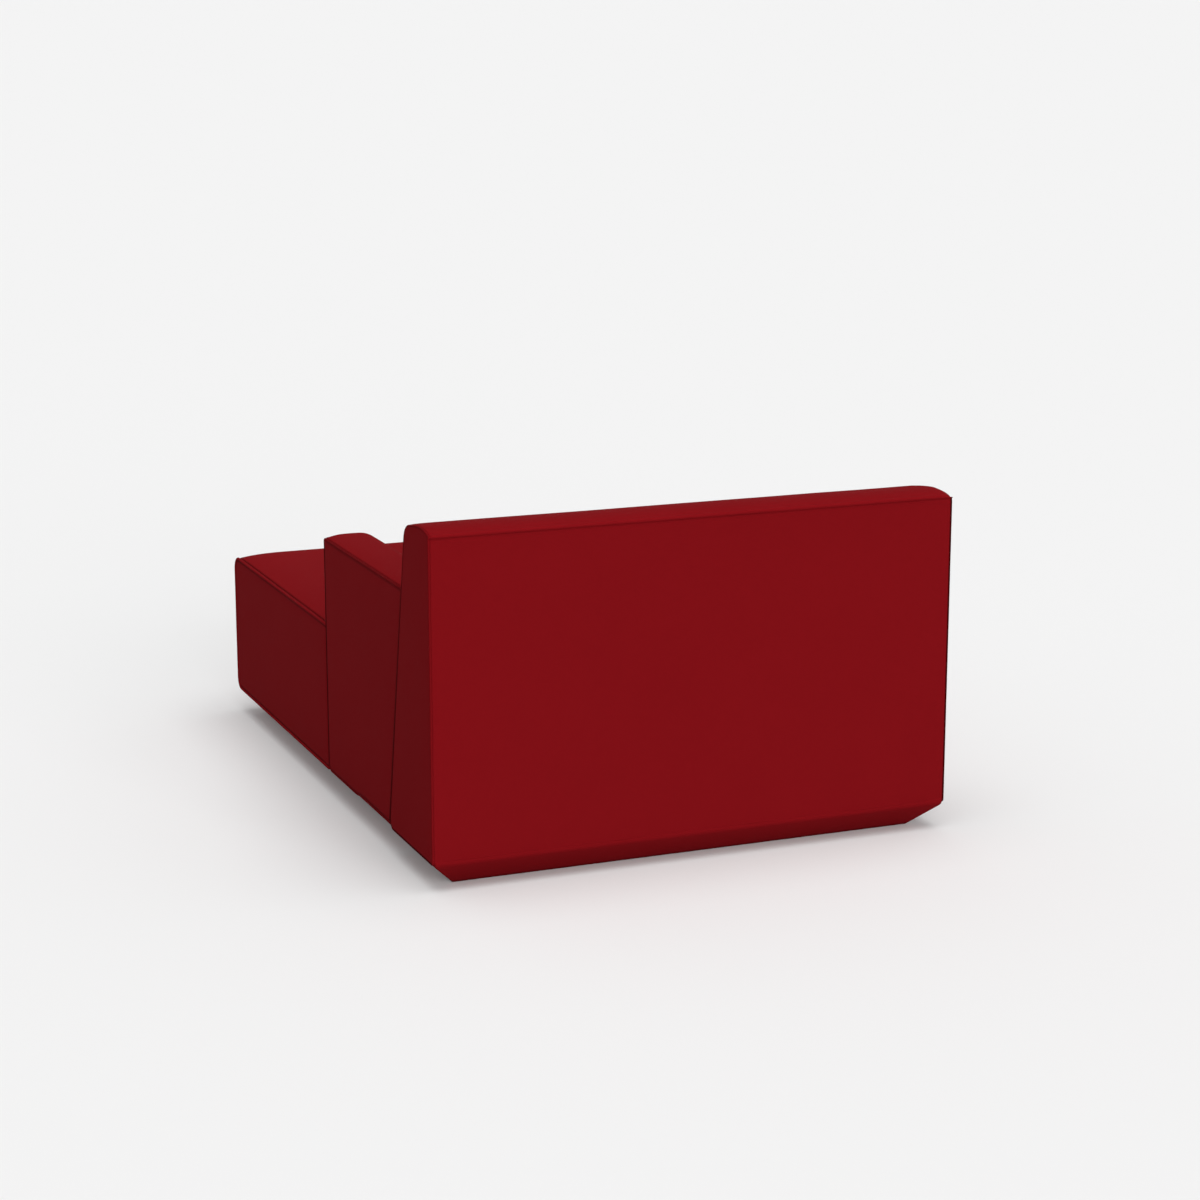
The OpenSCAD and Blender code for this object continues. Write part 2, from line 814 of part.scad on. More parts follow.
module glide_holes() {
    for (p = concat(seat_glides_at, arm_glides_at, back_glides_at))
        translate([p.x, p.y, 0])
            cylinder(h = glide_h + glide_nail + fit_gap, r = glide_nail_r + lay_gap, $fn = 24);
}

module seat_glides() {
    glides(seat_glides_at);
}

module arm_glides() {
    glides(arm_glides_at);
}

module back_glides() {
    glides(back_glides_at);
}

// Armrest: two shaped panels on posts and rails, with foam outside
arm_in = skin + thin_pad_t;
arm_panel_x0 = arm_x0 + arm_in;
arm_panel_x1 = arm_x1 - arm_in;
core_x0 = arm_panel_x0 + panel_t;
core_x1 = arm_panel_x1 - panel_t;
arm_front = arm_y + max(arm_in, arm_low_r + fit_gap);
function arm_rear(z) = rest_rear_y(z) - arm_in / cos(back_rake);

module arm_cover() {
    color(red)
        difference() {
            arm_volume(0);
            arm_volume(cover_t);
            box_span([arm_panel_x0, arm_panel_x1], [arm_y + rim_w, rest_rear_y(body_z) - rim_w],
                [body_z - over, body_z + over]);
        }
}

module arm_foam_part(x, y, z) {
    intersection() {
        arm_volume(skin);
        box_span(x, y, z);
    }
}

module arm_top_foam() {
    color(foam_colour)
        arm_foam_part([0, half_w], [-half_d, half_d], [arm_foam_z, arm_edge_z + over]);
}

module arm_side_pads() {
    color(foam_colour) {
        arm_foam_part([0, arm_panel_x0], [-half_d, half_d], [frame_z - cover_t, arm_foam_z]);
        arm_foam_part([arm_panel_x1, half_w], [-half_d, half_d], [frame_z - cover_t, arm_foam_z]);
    }
}

module arm_front_pad() {
    color(foam_colour)
        arm_foam_part([arm_panel_x0, arm_panel_x1], [-half_d, arm_front], [frame_z - cover_t, arm_foam_z]);
}

module arm_rear_pad() {
    color(foam_colour)
        difference() {
            arm_foam_part([arm_panel_x0, arm_panel_x1], [arm_front, half_d], [frame_z - cover_t, arm_foam_z]);
            yz_prism(arm_slice(frame_z - over, arm_foam_z + over), 0, half_w);
        }
}

// Part of the armrest's frame between two heights
function arm_slice(z0, z1) = [
    [arm_front, z0], [arm_rear(z0), z0], [arm_rear(z1), z1], [arm_front, z1]];

module arm_inner_board() {
    color(ply)
        yz_prism(arm_slice(frame_z, arm_foam_z), arm_panel_x0, core_x0);
}

module arm_outer_board() {
    color(ply)
        yz_prism(arm_slice(frame_z, arm_foam_z), core_x1, arm_panel_x1);
}

module arm_bottom_rail() {
    color(timber)
        yz_prism(arm_slice(frame_z, frame_z + board_t), core_x0, core_x1);
}

module arm_top_rail() {
    color(timber)
        yz_prism(arm_slice(arm_foam_z - board_t, arm_foam_z), core_x0, core_x1);
}

arm_post_z = [frame_z + board_t, arm_foam_z - board_t];

module arm_front_post() {
    color(timber)
        box_span([core_x0, core_x1], [arm_front, arm_front + post_w], arm_post_z);
}

module arm_rear_post() {
    color(timber)
        yz_prism([
            [arm_rear(arm_post_z[0]) - post_w, arm_post_z[0]], [arm_rear(arm_post_z[0]), arm_post_z[0]],
            [arm_rear(arm_post_z[1]), arm_post_z[1]], [arm_rear(arm_post_z[1]) - post_w, arm_post_z[1]]
        ], core_x0, core_x1);
}

arm_low_x = arm_x1 - plinth_inset;
arm_plinth_x0 = arm_x0 + seam_in;

module arm_bevel(inset, grow) {
    bevel_block([arm_plinth_x0, arm_plinth_x0], [arm_x1 - seam_in, arm_low_x],
        [arm_y + arm_low_r, arm_y + arm_low_r],
        [rest_rear_y(body_z) - fold_r, rest_rear_y(body_z) - fold_r], inset, grow);
}

module arm_base_cover() {
    color(dark_red)
        difference() {
            arm_bevel(0, 0);
            arm_bevel(bevel_skin, over);
            arm_bars(pin_gap);
        }
}

bush_r = pin_r + pin_gap + bush_wall;
bush_h = pin_h + pin_gap;

module arm_plinth() {
    color(timber)
        difference() {
            arm_bevel(bevel_skin, 0);
            arm_bars(pin_gap);
            at_arm_pins()
                cylinder(h = bush_h + pin_gap, r = bush_r, $fn = 48);
            glide_holes();
        }
}

module bush(lift) {
    translate([0, 0, lift])
        difference() {
            cylinder(h = bush_h - lift, r = bush_r - lay_gap, $fn = 48);
            translate([0, 0, -over])
                cylinder(h = 2 * over + bush_h, r = pin_r + pin_gap, $fn = 48);
        }
}

module arm_bushes() {
    color(steel)
        at_arm_pins()
            bush(pin_gap);
}

// Backrest: wedge-shaped ribs between two boards, a rear panel, webbing and foam
back_in = skin + thin_pad_t;
back_panel_y = rear_y - back_in;
back_core_y = back_panel_y - panel_t;
back_core_x = back_x - back_in;
function web_y(z) = back_front_y(z) + (skin + back_foam_t) / cos(back_rake);
function rib_y(z) = web_y(z) + strap_t / cos(back_rake);

module back_cover() {
    color(red)
        difference() {
            back_volume(0);
            back_volume(cover_t);
            box_span([-back_x + rim_w, back_x - rim_w], [back_foot_y + rim_w, rear_y - rim_w],
                [body_z - over, body_z + over]);
        }
}

// Part of the backrest between the webbing's line and the rear panel
function back_slice(y_rear, z0, z1) = [
    [web_y(z0), z0], [y_rear, z0], [y_rear, z1], [web_y(z1), z1]];

function rib_slice(z0, z1) = [
    [rib_y(z0), z0], [back_core_y, z0], [back_core_y, z1], [rib_y(z1), z1]];

module back_front_foam() {
    color(foam_colour)
        difference() {
            intersection() {
                back_volume(skin);
                box_span([-half_w, half_w], [-half_d, half_d], [body_z, back_top_z]);
            }
            yz_prism(back_slice(half_d + over, body_z - over, back_top_z + over), -half_w, half_w);
        }
}

module back_top_foam() {
    color(foam_colour)
        intersection() {
            back_volume(skin);
            box_span([-half_w, half_w], [-half_d, half_d], [back_top_z, back_edge_z + over]);
        }
}

module back_rear_pad() {
    color(foam_colour)
        intersection() {
            back_volume(skin);
            box_span([-back_core_x, back_core_x], [back_panel_y, half_d], [body_z, back_top_z]);
        }
}

module back_end_pads() {
    color(foam_colour)
        for (side = [-1, 1])
            intersection() {
                back_volume(skin);
                yz_prism(back_slice(half_d, body_z, back_top_z), min(side * back_core_x, side * half_w),
                    max(side * back_core_x, side * half_w));
            }
}

module back_board() {
    color(ply)
        box_span([-back_core_x, back_core_x], [back_core_y, back_panel_y], [frame_z, back_top_z]);
}

module back_bottom_board() {
    color(timber)
        yz_prism(rib_slice(frame_z, frame_z + board_t), -back_core_x, back_core_x);
}

module back_top_board() {
    color(timber)
        yz_prism(rib_slice(back_top_z - board_t, back_top_z), -back_core_x, back_core_x);
}

module back_ribs() {
    color(timber)
        for (i = [0:back_ribs_n - 1])
            let (x = -back_core_x + (2 * back_core_x - board_t) * i / (back_ribs_n - 1))
                yz_prism(rib_slice(frame_z + board_t, back_top_z - board_t), x, x + board_t);
}

strap_z0 = frame_z + board_t;
strap_step = (back_top_z - board_t - strap_z0) / straps_n;

module back_webbing() {
    color(black)
        for (i = [0:straps_n - 1])
            let (z0 = strap_z0 + strap_step * (i + 0.5) - strap_w / 2, z1 = z0 + strap_w)
                yz_prism([[web_y(z0) + lay_gap, z0], [rib_y(z0), z0], [rib_y(z1), z1], [web_y(z1) + lay_gap, z1]],
                    -back_core_x, back_core_x);
}

back_plinth_y0 = back_foot_y + max(fold_r, back_low_r);

module back_bevel(inset, grow) {
    bevel_block([seam_in - back_x, -back_low_x], [back_x - seam_in, back_low_x],
        [back_plinth_y0, back_plinth_y0], [rear_y - fold_r / 2, back_low_y], inset, grow);
}

module back_base_cover() {
    color(dark_red)
        difference() {
            back_bevel(0, 0);
            back_bevel(bevel_skin, over);
            back_bars(pin_gap);
        }
}

back_rail_y0 = back_plinth_y0 + bevel_skin + joint_rail_w / 2;
back_rail_y1 = back_low_y - bevel_skin - plinth_rail_w;

module back_plinth_front() {
    color(timber)
        difference() {
            intersection() {
                back_bevel(bevel_skin, 0);
                box_span([-half_w, half_w], [-half_d, back_rail_y0], plinth_span);
            }
            back_bars(pin_gap);
            at_back_pins()
                translate([0, 0, -bar_t])
                    cylinder(h = bar_t + bush_h + pin_gap, r = bush_r, $fn = 48);
            glide_holes();
        }
}

module back_plinth_rear() {
    color(timber)
        difference() {
            intersection() {
                back_bevel(bevel_skin, 0);
                box_span([-half_w, half_w], [back_rail_y1, half_d], plinth_span);
            }
            glide_holes();
        }
}

module back_plinth_ends() {
    color(timber)
        for (side = [-1, 1])
            intersection() {
                back_bevel(bevel_skin, 0);
                box_span([min(side * (back_low_x - plinth_rail_w), side * half_w),
                    max(side * (back_low_x - plinth_rail_w), side * half_w)],
                    [back_rail_y0, back_rail_y1], plinth_span);
            }
}

module back_bushes() {
    color(steel)
        at_back_pins()
            bush(2 * pin_gap + bush_r * lean);
}

seat_cover();
seat_base_cover();
seat_foam_front();
seat_foam_rear();
seat_front_pad();
seat_left_pad();
seat_right_pad();
seat_rear_pad();
seat_felt();
seat_springs();
spring_clips();
seat_front_board();
seat_left_board();
seat_right_board();
seat_notch_board();
seat_inner_board();
seat_rear_board();
seat_middle_rail();
seat_corner_blocks();
seat_plinth_front();
seat_plinth_left();
seat_plinth_right();
seat_plinth_inner();
seat_plinth_rear();
seat_dust_cover();
seat_glides();
arm_connectors();
back_connectors();
connector_screws();
arm_cover();
arm_base_cover();
arm_top_foam();
arm_side_pads();
arm_front_pad();
arm_rear_pad();
arm_inner_board();
arm_outer_board();
arm_bottom_rail();
arm_top_rail();
arm_front_post();
arm_rear_post();
arm_plinth();
arm_bushes();
arm_glides();
back_cover();
back_base_cover();
back_front_foam();
back_top_foam();
back_rear_pad();
back_end_pads();
back_board();
back_ribs();
back_bottom_board();
back_top_board();
back_webbing();
back_plinth_front();
back_plinth_rear();
back_plinth_ends();
back_bushes();
back_glides();
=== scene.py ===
"""Recamiere daybed of three upholstered blocks, with floor, light and camera.

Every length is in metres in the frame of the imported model: X across with the armrest on +X, Y to
the rear, Z up. Outlines are drawn in the YZ plane and carried across the block along X. Their four
sides are the bottom, rear, top and front, in that order.
"""

import json
import math

import bmesh
import bpy
import numpy as np
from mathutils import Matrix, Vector, noise


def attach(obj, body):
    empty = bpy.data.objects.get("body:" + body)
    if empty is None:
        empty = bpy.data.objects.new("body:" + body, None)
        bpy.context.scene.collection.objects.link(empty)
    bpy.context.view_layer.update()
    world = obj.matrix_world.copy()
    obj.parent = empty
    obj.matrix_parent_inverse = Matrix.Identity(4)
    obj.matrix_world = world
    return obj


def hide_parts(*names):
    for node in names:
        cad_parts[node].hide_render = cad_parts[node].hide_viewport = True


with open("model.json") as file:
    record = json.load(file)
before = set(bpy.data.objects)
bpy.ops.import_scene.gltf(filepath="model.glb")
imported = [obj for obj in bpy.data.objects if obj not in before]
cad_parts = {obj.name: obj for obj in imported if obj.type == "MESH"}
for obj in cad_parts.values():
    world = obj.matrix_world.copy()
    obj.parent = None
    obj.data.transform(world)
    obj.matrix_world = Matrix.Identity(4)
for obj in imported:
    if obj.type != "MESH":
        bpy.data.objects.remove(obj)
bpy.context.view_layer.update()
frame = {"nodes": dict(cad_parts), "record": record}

# Sizes of the construction

# Height of the bevelled base, top of the glides and slope of the backrest's front face
BODY_Z, GLIDE_Z = 0.060, 0.004
RAKE = math.radians(11.4)
# Ends of the daybed, foot of the backrest's front face and the gap in front of that face, along Y
FRONT_Y, REAR_Y = -0.791, 0.791
BACK_FOOT_Y = 0.503
FACE_GAP = 0.0085 / math.cos(RAKE)
# Side panels of the seat, the backrest and the armrest, and the armrest's front
SEAT_X, BACK_X, BACK_NEAR_X = 0.592, 0.597, 0.599
ARM_X0, ARM_X1, ARM_FRONT = 0.4685, 0.5945, 0.0310
# Walls of the corner that is cut out of the seat for the armrest
NOTCH_X, NOTCH_Y = 0.465, 0.0284
# Heights of the outlines; the backrest has one for its front and one for its rear lip
SEAT_Z, ARM_Z = 0.405, 0.607
BACK_Z, LIP_Z = 0.7535, 0.7515
# Radius of a fold without a seam, and of one at the seat's lower edge
FOLD_R, LOW_FOLD_R = 0.008, 0.0022


def back_front_y(z):
    return BACK_FOOT_Y + (z - BODY_Z) * math.tan(RAKE)


def rest_rear_y(z):
    return back_front_y(z) - FACE_GAP


def clamp(t):
    return min(1.0, max(0.0, t))


def smooth(t):
    t = clamp(t)
    return t * t * (3 - 2 * t)


def ramp(value, start, run):
    """Smooth rise from 0 to 1 that begins at start and takes one run."""
    return smooth((value - start) / run)


def bell(t):
    return math.exp(-(t**2))


def swell(t):
    """Rise of a crowned face from its edge, 0, to its full height, 1."""
    t = clamp(t)
    return 1 - (1 - t) ** 2.6


# Raised seams and the grooves beside them


class Seam:
    """One kind of seam.

    depth and wide measure its groove. cord, lie and dark are its cord's radius, distance inside the
    cover's edge and painted shade. full and end bound the painted shade on the panel's border.
    """

    # Rows of the border in shares of its width, rows of the strip in depths of the groove
    BORDER_ROWS = (0.0, 0.16, 0.34, 0.55, 0.77, 1.0)
    GROOVE_ROWS = (1.0, 1.28, 1.6, 1.95, 2.4, 3.05, 3.85, 4.85, 6.0)
    OUTER_ROWS = [0.026, 0.034, 0.045, 0.060]

    def __init__(self, depth, wide, cord, lie, dark, full, end):
        self.depth, self.wide = depth, wide
        self.cord, self.lie, self.dark = cord, lie, dark
        self.full, self.end = full, end
        self.rows = [depth + (end - depth) * share for share in self.BORDER_ROWS]
        self.steps = [depth * times for times in self.GROOVE_ROWS] + self.OUTER_ROWS

    def groove(self, d, wide=None):
        """Depth of the groove at a distance from the edge."""
        return self.depth * (1 - ramp(d, self.depth, wide or self.wide))

    def shade(self, d):
        """Painted shade of the strip: 1 at the groove's bottom, 0 on the open cloth."""
        return 1 - ramp(d, 1.2 * self.depth, self.wide)

    def border_shade(self, d):
        """Painted shade of the panel's border at a distance from the edge."""
        return 1 - ramp(d, self.full, self.end - self.full)


# Kinds of seam, each with its painted shade: dark for the cord, full and end for the panel's border
OPEN = Seam(depth=0.0034, wide=0.0058, cord=0.0037, lie=0.0014, dark=0.0, full=0.0056, end=0.0112)
TIGHT = Seam(depth=0.0024, wide=0.0026, cord=0.0022, lie=0.0017, dark=0.9, full=0.0030, end=0.0056)
ARM_SEAM = Seam(
    depth=0.0030, wide=0.0030, cord=0.0025, lie=0.0021, dark=0.95, full=0.0064, end=0.0124
)


def fold(d, r=FOLD_R):
    """Depth of a plain rounded fold at a distance from it."""
    return 0.0 if d >= r else r - math.sqrt(max(0.0, r * r - (r - d) ** 2))


def wander(x, y, z, scale, seed):
    """Smooth noise from -1 to 1 that varies over about one scale."""
    return noise.noise(Vector((x / scale + seed, y / scale - seed, z / scale + 2 * seed)))


# Outlines


def corner_arc(p0, p1, p2, r, steps):
    """Stations round one corner as (y, z, normal y, normal z)."""
    u = (p1 - p0).normalized()
    w = (p2 - p1).normalized()
    a = math.atan2(-u.x, u.y)
    turn = (math.atan2(-w.x, w.y) - a) % (2 * math.pi)
    centre = p1 - u * r * math.tan(turn / 2) - Vector((u.y, -u.x)) * r
    out = []
    for i in range(steps + 1):
        b = a + turn * i / steps
        n = Vector((math.cos(b), math.sin(b)))
        out.append((*(centre + n * r), *n))
    return out


def outline(corners, radii, half_steps, shares):
    """The four sides of a rounded outline, each from the middle of a corner to that of the next.

    shares say where the stations stand on each side's straight run; a function gets its ends' Y.
    """
    corners = [Vector(c) for c in corners]
    arcs = [
        corner_arc(corners[i - 1], corners[i], corners[(i + 1) % 4], radii[i], 2 * half_steps)
        for i in range(4)
    ]
    sides = []
    for i in range(4):
        a, b = arcs[i], arcs[(i + 1) % 4]
        start, end = a[-1], b[0]
        stations = shares[i](start[0], end[0]) if callable(shares[i]) else shares[i]
        straight = [
            (start[0] + (end[0] - start[0]) * s, start[1] + (end[1] - start[1]) * s, *end[2:])
            for s in stations
        ]
        sides.append(a[half_steps:] + straight + b[: half_steps + 1])
    return sides


def body_corners(front_y, top_z):
    """Corners of an outline with an upright front and a rear that follows the backrest's slope."""
    low, high = rest_rear_y(BODY_Z), rest_rear_y(top_z)
    return [(front_y, BODY_Z), (low, BODY_Z), (high, top_z), (front_y, top_z)]


def spaced(n):
    """n evenly spaced shares inside a run."""
    return [i / (n + 1) for i in range(1, n + 1)]


def lengths(points):
    """Running length along a line of points."""
    out = [0.0]
    for p, q in zip(points, points[1:]):
        out.append(out[-1] + math.dist(p, q))
    return out


# Meshes


def add_object(name, data):
    obj = bpy.data.objects.new(name, data)
    bpy.context.scene.collection.objects.link(obj)
    return obj


class Cloth:
    """Grids of points with their cloth coordinates and painted seam shade, welded into one mesh."""

    # Points closer than this become one
    WELD = 2e-5

    def __init__(self):
        self.points, self.faces, self.uvs, self.point_painted_shades = [], [], [], []

    def grid(self, points, uvs, keep=None, closed=False, depth=None):
        """Rows of points; keep says which cells are cloth, closed joins the last row to the first.

        depth gives the painted seam shade of the point in a row and a column.
        """
        base = len(self.points)
        rows, cols = len(points), len(points[0])
        for i, row in enumerate(points):
            self.points.extend(row)
            self.point_painted_shades.extend(depth(i, j) if depth else 0.0 for j in range(cols))
        last = rows if closed else rows - 1
        for i in range(last):
            for j in range(cols - 1):
                if keep and not keep(i, j):
                    continue
                a, b = base + i * cols + j, base + (i + 1) % rows * cols + j
                self.faces.append([a, b, b + 1, a + 1])
                self.uvs.append([uvs[i][j], uvs[i + 1][j], uvs[i + 1][j + 1], uvs[i][j + 1]])

    def build(self, name, turn=True):
        """The welded mesh as an object; turn makes its faces look outwards."""
        mesh = bpy.data.meshes.new(name)
        mesh.from_pydata([tuple(p) for p in self.points], [], self.faces)
        layer = mesh.uv_layers.new(name="cloth")
        flat = [c for face in self.uvs for uv in face for c in uv]
        layer.data.foreach_set("uv", flat)
        # Painted seam shade of each point, by which the cloth's material darkens its colour
        point_painted_shades = np.array(self.point_painted_shades, dtype=np.float32)
        mesh.attributes.new("painted_shade", "FLOAT", "POINT").data.foreach_set("value", point_painted_shades)
        bm = bmesh.new()
        bm.from_mesh(mesh)
        bmesh.ops.remove_doubles(bm, verts=bm.verts, dist=self.WELD)
        if turn:
            bmesh.ops.recalc_face_normals(bm, faces=bm.faces)
        bm.to_mesh(mesh)
        bm.free()
        mesh.shade_smooth()
        return add_object(name, mesh)


def coons(bottom, right, top, left):
    """Grid of plane points between four sides; opposite sides run the same way."""

    def shares(a, b):
        la, lb = lengths(a), lengths(b)
        return [(p / la[-1] + q / lb[-1]) / 2 for p, q in zip(la, lb)]

    u, v = shares(bottom, top), shares(left, right)
    bottom, right, top, left = (np.array(s, float) for s in (bottom, right, top, left))
    rows = []
    for j, tv in enumerate(v):
        row = []
        for i, tu in enumerate(u):
            p = (1 - tv) * bottom[i] + tv * top[i] + (1 - tu) * left[j] + tu * right[j]
            p -= (1 - tu) * (1 - tv) * bottom[0] + tu * (1 - tv) * bottom[-1]
            p -= (1 - tu) * tv * top[0] + tu * tv * top[-1]
            row.append(p)
        rows.append(row)
    return rows


def edge_distance(p, ring):
    """Distance from a plane point to a closed ring of points, as an array."""
    d = ring - p
    return math.sqrt(float((d * d).sum(1).min()))


# Least distance between a row of the strip and one that is asked for
ROW_CLEAR = 0.0012


def near_rows(x0, x1, middle, steps, extra):
    """Places across a block: close together beside both side panels, and a few where asked."""
    a, b = x0 + steps[-1], x1 - steps[-1]
    xs = [x0 + d for d in steps] + [x1 - d for d in steps]
    xs += [a + (b - a) * i / middle for i in range(1, middle)]
    return sorted([x for x in xs if all(abs(x - e) > ROW_CLEAR for e in extra)] + list(extra))


def crown_along(sides, crowns):
    """Full crown at each station of the ring.

    crowns gives each side's height, the length over which it rises to that and its start's height.
    """
    out = []
    for k, side in enumerate(sides):
        height, reach, start = crowns[k]
        end = crowns[(k + 1) % 4][2]
        along = lengths([p[:2] for p in side])
        for a in along[:-1]:
            h = height - (height - start) * (1 - swell(a / reach))
            out.append(h - (height - end) * (1 - swell((along[-1] - a) / reach)))
    return out


# Crown of a side panel and the distance over which it rises; the same distance beside the notch
PANEL_CROWN, PANEL_REACH, NOTCH_REACH = 0.0015, 0.09, 0.06
# Unevenness of the cloth on the strip and on a panel, and the distance over which it comes in
STRIP_UNEVEN, PANEL_UNEVEN, UNEVEN_REACH = 0.0005, 0.0004, 0.05
# Gathers beside a seam: height, length along it, distance from it and half width
GATHER, GATHER_STEP, GATHER_AT, GATHER_HALF = 0.00022, 0.037, 0.014, 0.010


def block(
    name, sides, x0, x1, crowns, reach, middle, seed, seam, notch_rows=(), shift=None, painted_shade=None
):
    """One upholstered block: a crowned strip round the outline and two side panels.

    The crown rises over reach from each panel; middle is the number of cells between the close
    rows. shift moves a point of the strip along its normal, given its place and normal. The last
    function sets the painted shade of a point, given the seam's painted shade there, its X and Z
    and its normal.
    """
    ring = [p for side in sides for p in side[:-1]]
    crown = crown_along(sides, crowns)
    n = len(ring)
    s = lengths([p[:2] for p in ring] + [ring[0][:2]])
    xs = near_rows(x0, x1, middle, seam.steps, notch_rows)

    def place(i, x):
        y, z, ny, nz = ring[i]
        d = min(x - x0, x1 - x)
        free, h = 1.0, 0.0
        if notch_rows:
            gap = math.hypot(max(0.0, NOTCH_X - x), max(0.0, NOTCH_Y - y))
            free, h = swell(gap / NOTCH_REACH), -fold(gap, FOLD_R if nz > -0.5 else LOW_FOLD_R)
        h += crown[i] * swell(d / reach) * free - seam.groove(d)
        h += STRIP_UNEVEN * wander(x, y, z, 0.16, seed) * smooth(d / UNEVEN_REACH) * free
        wave = math.sin(2 * math.pi * s[i] / GATHER_STEP + 4.0 * wander(x, y, z, 0.13, seed))
        h += GATHER * wave * bell((d - GATHER_AT) / GATHER_HALF)
        if shift:
            h += shift(x, y, z, ny, nz)
        return (x, y + ny * h, z + nz * h)

    cloth = Cloth()
    points = [[place(i, x) for x in xs] for i in range(n)]
    uvs = [[(x, s[i]) for x in xs] for i in range(n + 1)]

    def outside_notch(i, j):
        x = (xs[j] + xs[j + 1]) / 2
        y = (ring[i][0] + ring[(i + 1) % n][0]) / 2
        return not (x > NOTCH_X and y > NOTCH_Y)

    # Painted seam shade at a station of the ring, corrected for this block
    def dark(i, x, painted_shade_level):
        z, ny, nz = ring[i % n][1:]
        return painted_shade(painted_shade_level, x, z, ny, nz) if painted_shade else painted_shade_level

    # Painted shade on the strip beside its seams
    def strip_painted_shade(i, j):
        return dark(i, xs[j], seam.shade(min(xs[j] - x0, x1 - xs[j])))

    keep = outside_notch if notch_rows else None
    cloth.grid(points, uvs, keep, closed=True, depth=strip_painted_shade)
    starts = [0]
    for side in sides:
        starts.append(starts[-1] + len(side) - 1)

    def panel(j, sign, ends=None):
        """Side panel on row j: a grooved border inside the seam and a nearly flat middle.

        ends are the first and last station of the seam where the notch cuts the panel off; the cut
        line is returned.
        """
        x_plane = x1 if sign > 0 else x0
        rim = np.array([p[j][1:] for p in points])

        def inside(i, t):
            """Point of the panel's border, t inside the outline."""
            ny, nz = ring[i % n][2:]
            y, z = points[i % n][j][1:]
            m = t - seam.depth
            return np.array((y - ny * m, z - nz * m))

        def raised(p, t=None):
            """Point of the panel with its height over the panel's plane."""
            d = seam.depth + edge_distance(p, rim) if t is None else t
            h = PANEL_CROWN * swell((d - seam.depth) / PANEL_REACH)
            h -= seam.groove(d, 1.05 * seam.depth)
            uneven = wander(x_plane, p[0], p[1], 0.14, seed + 5)
            h += PANEL_UNEVEN * uneven * smooth(d / UNEVEN_REACH)
            if ends:
                h -= fold(NOTCH_Y - p[0])
            return (x_plane + sign * h, float(p[0]), float(p[1]))

        def line(a, b):
            return [inside(i, seam.rows[-1]) for i in range(a, b + 1)]

        def flat_uv(rows):
            return [[(p[1], p[2]) for p in row] for row in rows]

        stations = range(ends[0], ends[1] + 1) if ends else range(n)
        band = [[raised(inside(i, t), t) for t in seam.rows] for i in stations]
        if not ends:
            for i, row in enumerate(band):
                row[0] = points[i][j]
        # Painted shade on the panel's border, row by row
        painted_shade_level = [seam.border_shade(t) for t in seam.rows]

        def border_painted_shade(i, k):
            return dark(i + stations[0], x_plane, painted_shade_level[k])

        cloth.grid(band, flat_uv(band + band[:1]), closed=not ends, depth=border_painted_shade)
        front = line(starts[3], starts[4])[::-1]
        if ends:
            high, low = ends[0], ends[1] - n
            bottom, top = line(starts[0], low), line(high, starts[3])[::-1]
            t = lengths([tuple(p) for p in front])
            rear = [bottom[-1] + (top[-1] - bottom[-1]) * v / t[-1] for v in t]
        else:
            bottom, rear = line(starts[0], starts[1]), line(starts[1], starts[2])
            top = line(starts[2], starts[3])[::-1]
        rows = [[raised(p) for p in row] for row in coons(bottom, rear, top, front)]
        for k, row in enumerate(rows):
            row[0] = raised(front[k], seam.rows[-1])
            if not ends:
                row[-1] = raised(rear[k], seam.rows[-1])
        rows[0] = [raised(p, seam.rows[-1]) for p in bottom]
        rows[-1] = [raised(p, seam.rows[-1]) for p in top]
        cloth.grid(rows, flat_uv(rows))
        return band[-1] + [row[-1] for row in rows[1:-1]] + band[0][::-1] if ends else None

    panel(0, -1)
    if not notch_rows:
        panel(len(xs) - 1, 1)
        return cloth.build(name), ring

    # The corner that is cut out for the armrest: one panel cut short and two walls
    last, col = len(xs) - 1, xs.index(NOTCH_X)
    low, high = [
        next(i for i in range(a, b + 1) if abs(ring[i][0] - NOTCH_Y) < 1e-6)
        for a, b in ((starts[0], starts[1]), (starts[2], starts[3]))
    ]
    free = panel(last, 1, (high, n + low))

    def wall(lower, far, upper, near, axis):
        """Flat wall between four lines; axis is the direction in which it faces."""
        flat_axes = [k for k in range(3) if k != axis]

        def flattened(line):
            return [tuple(p[k] for k in flat_axes) for p in line]

        rows = []
        for flat in coons(*map(flattened, (lower, far, upper, near))):
            row = []
            for q in flat:
                p = list(q)
                p.insert(axis, lower[0][axis])
                row.append(tuple(p))
            rows.append(row)
        rows[0], rows[-1] = list(lower), list(upper)
        for k, row in enumerate(rows):
            row[0], row[-1] = near[k], far[k]
        cloth.grid(rows, [flattened(row) for row in rows])

    def upright(count):
        a, b = Vector(points[low][col]), Vector(points[high][col])
        return [tuple(a.lerp(b, i / (count - 1))) for i in range(count)]

    wall(points[low][col:], free, points[high][col:], upright(len(free)), axis=1)
    rear = [points[i][col] for i in range(starts[1], starts[2] + 1)]
    lower = [points[i][col] for i in range(low, starts[1] + 1)]
    upper = [points[i][col] for i in range(high, starts[2] - 1, -1)]
    wall(lower, rear, upper, upright(len(rear)), axis=0)
    return cloth.build(name), ring


CORD_SIDES = 14
# The cord's cloth is cut on the bias, at 45 degrees
BIAS = 0.707


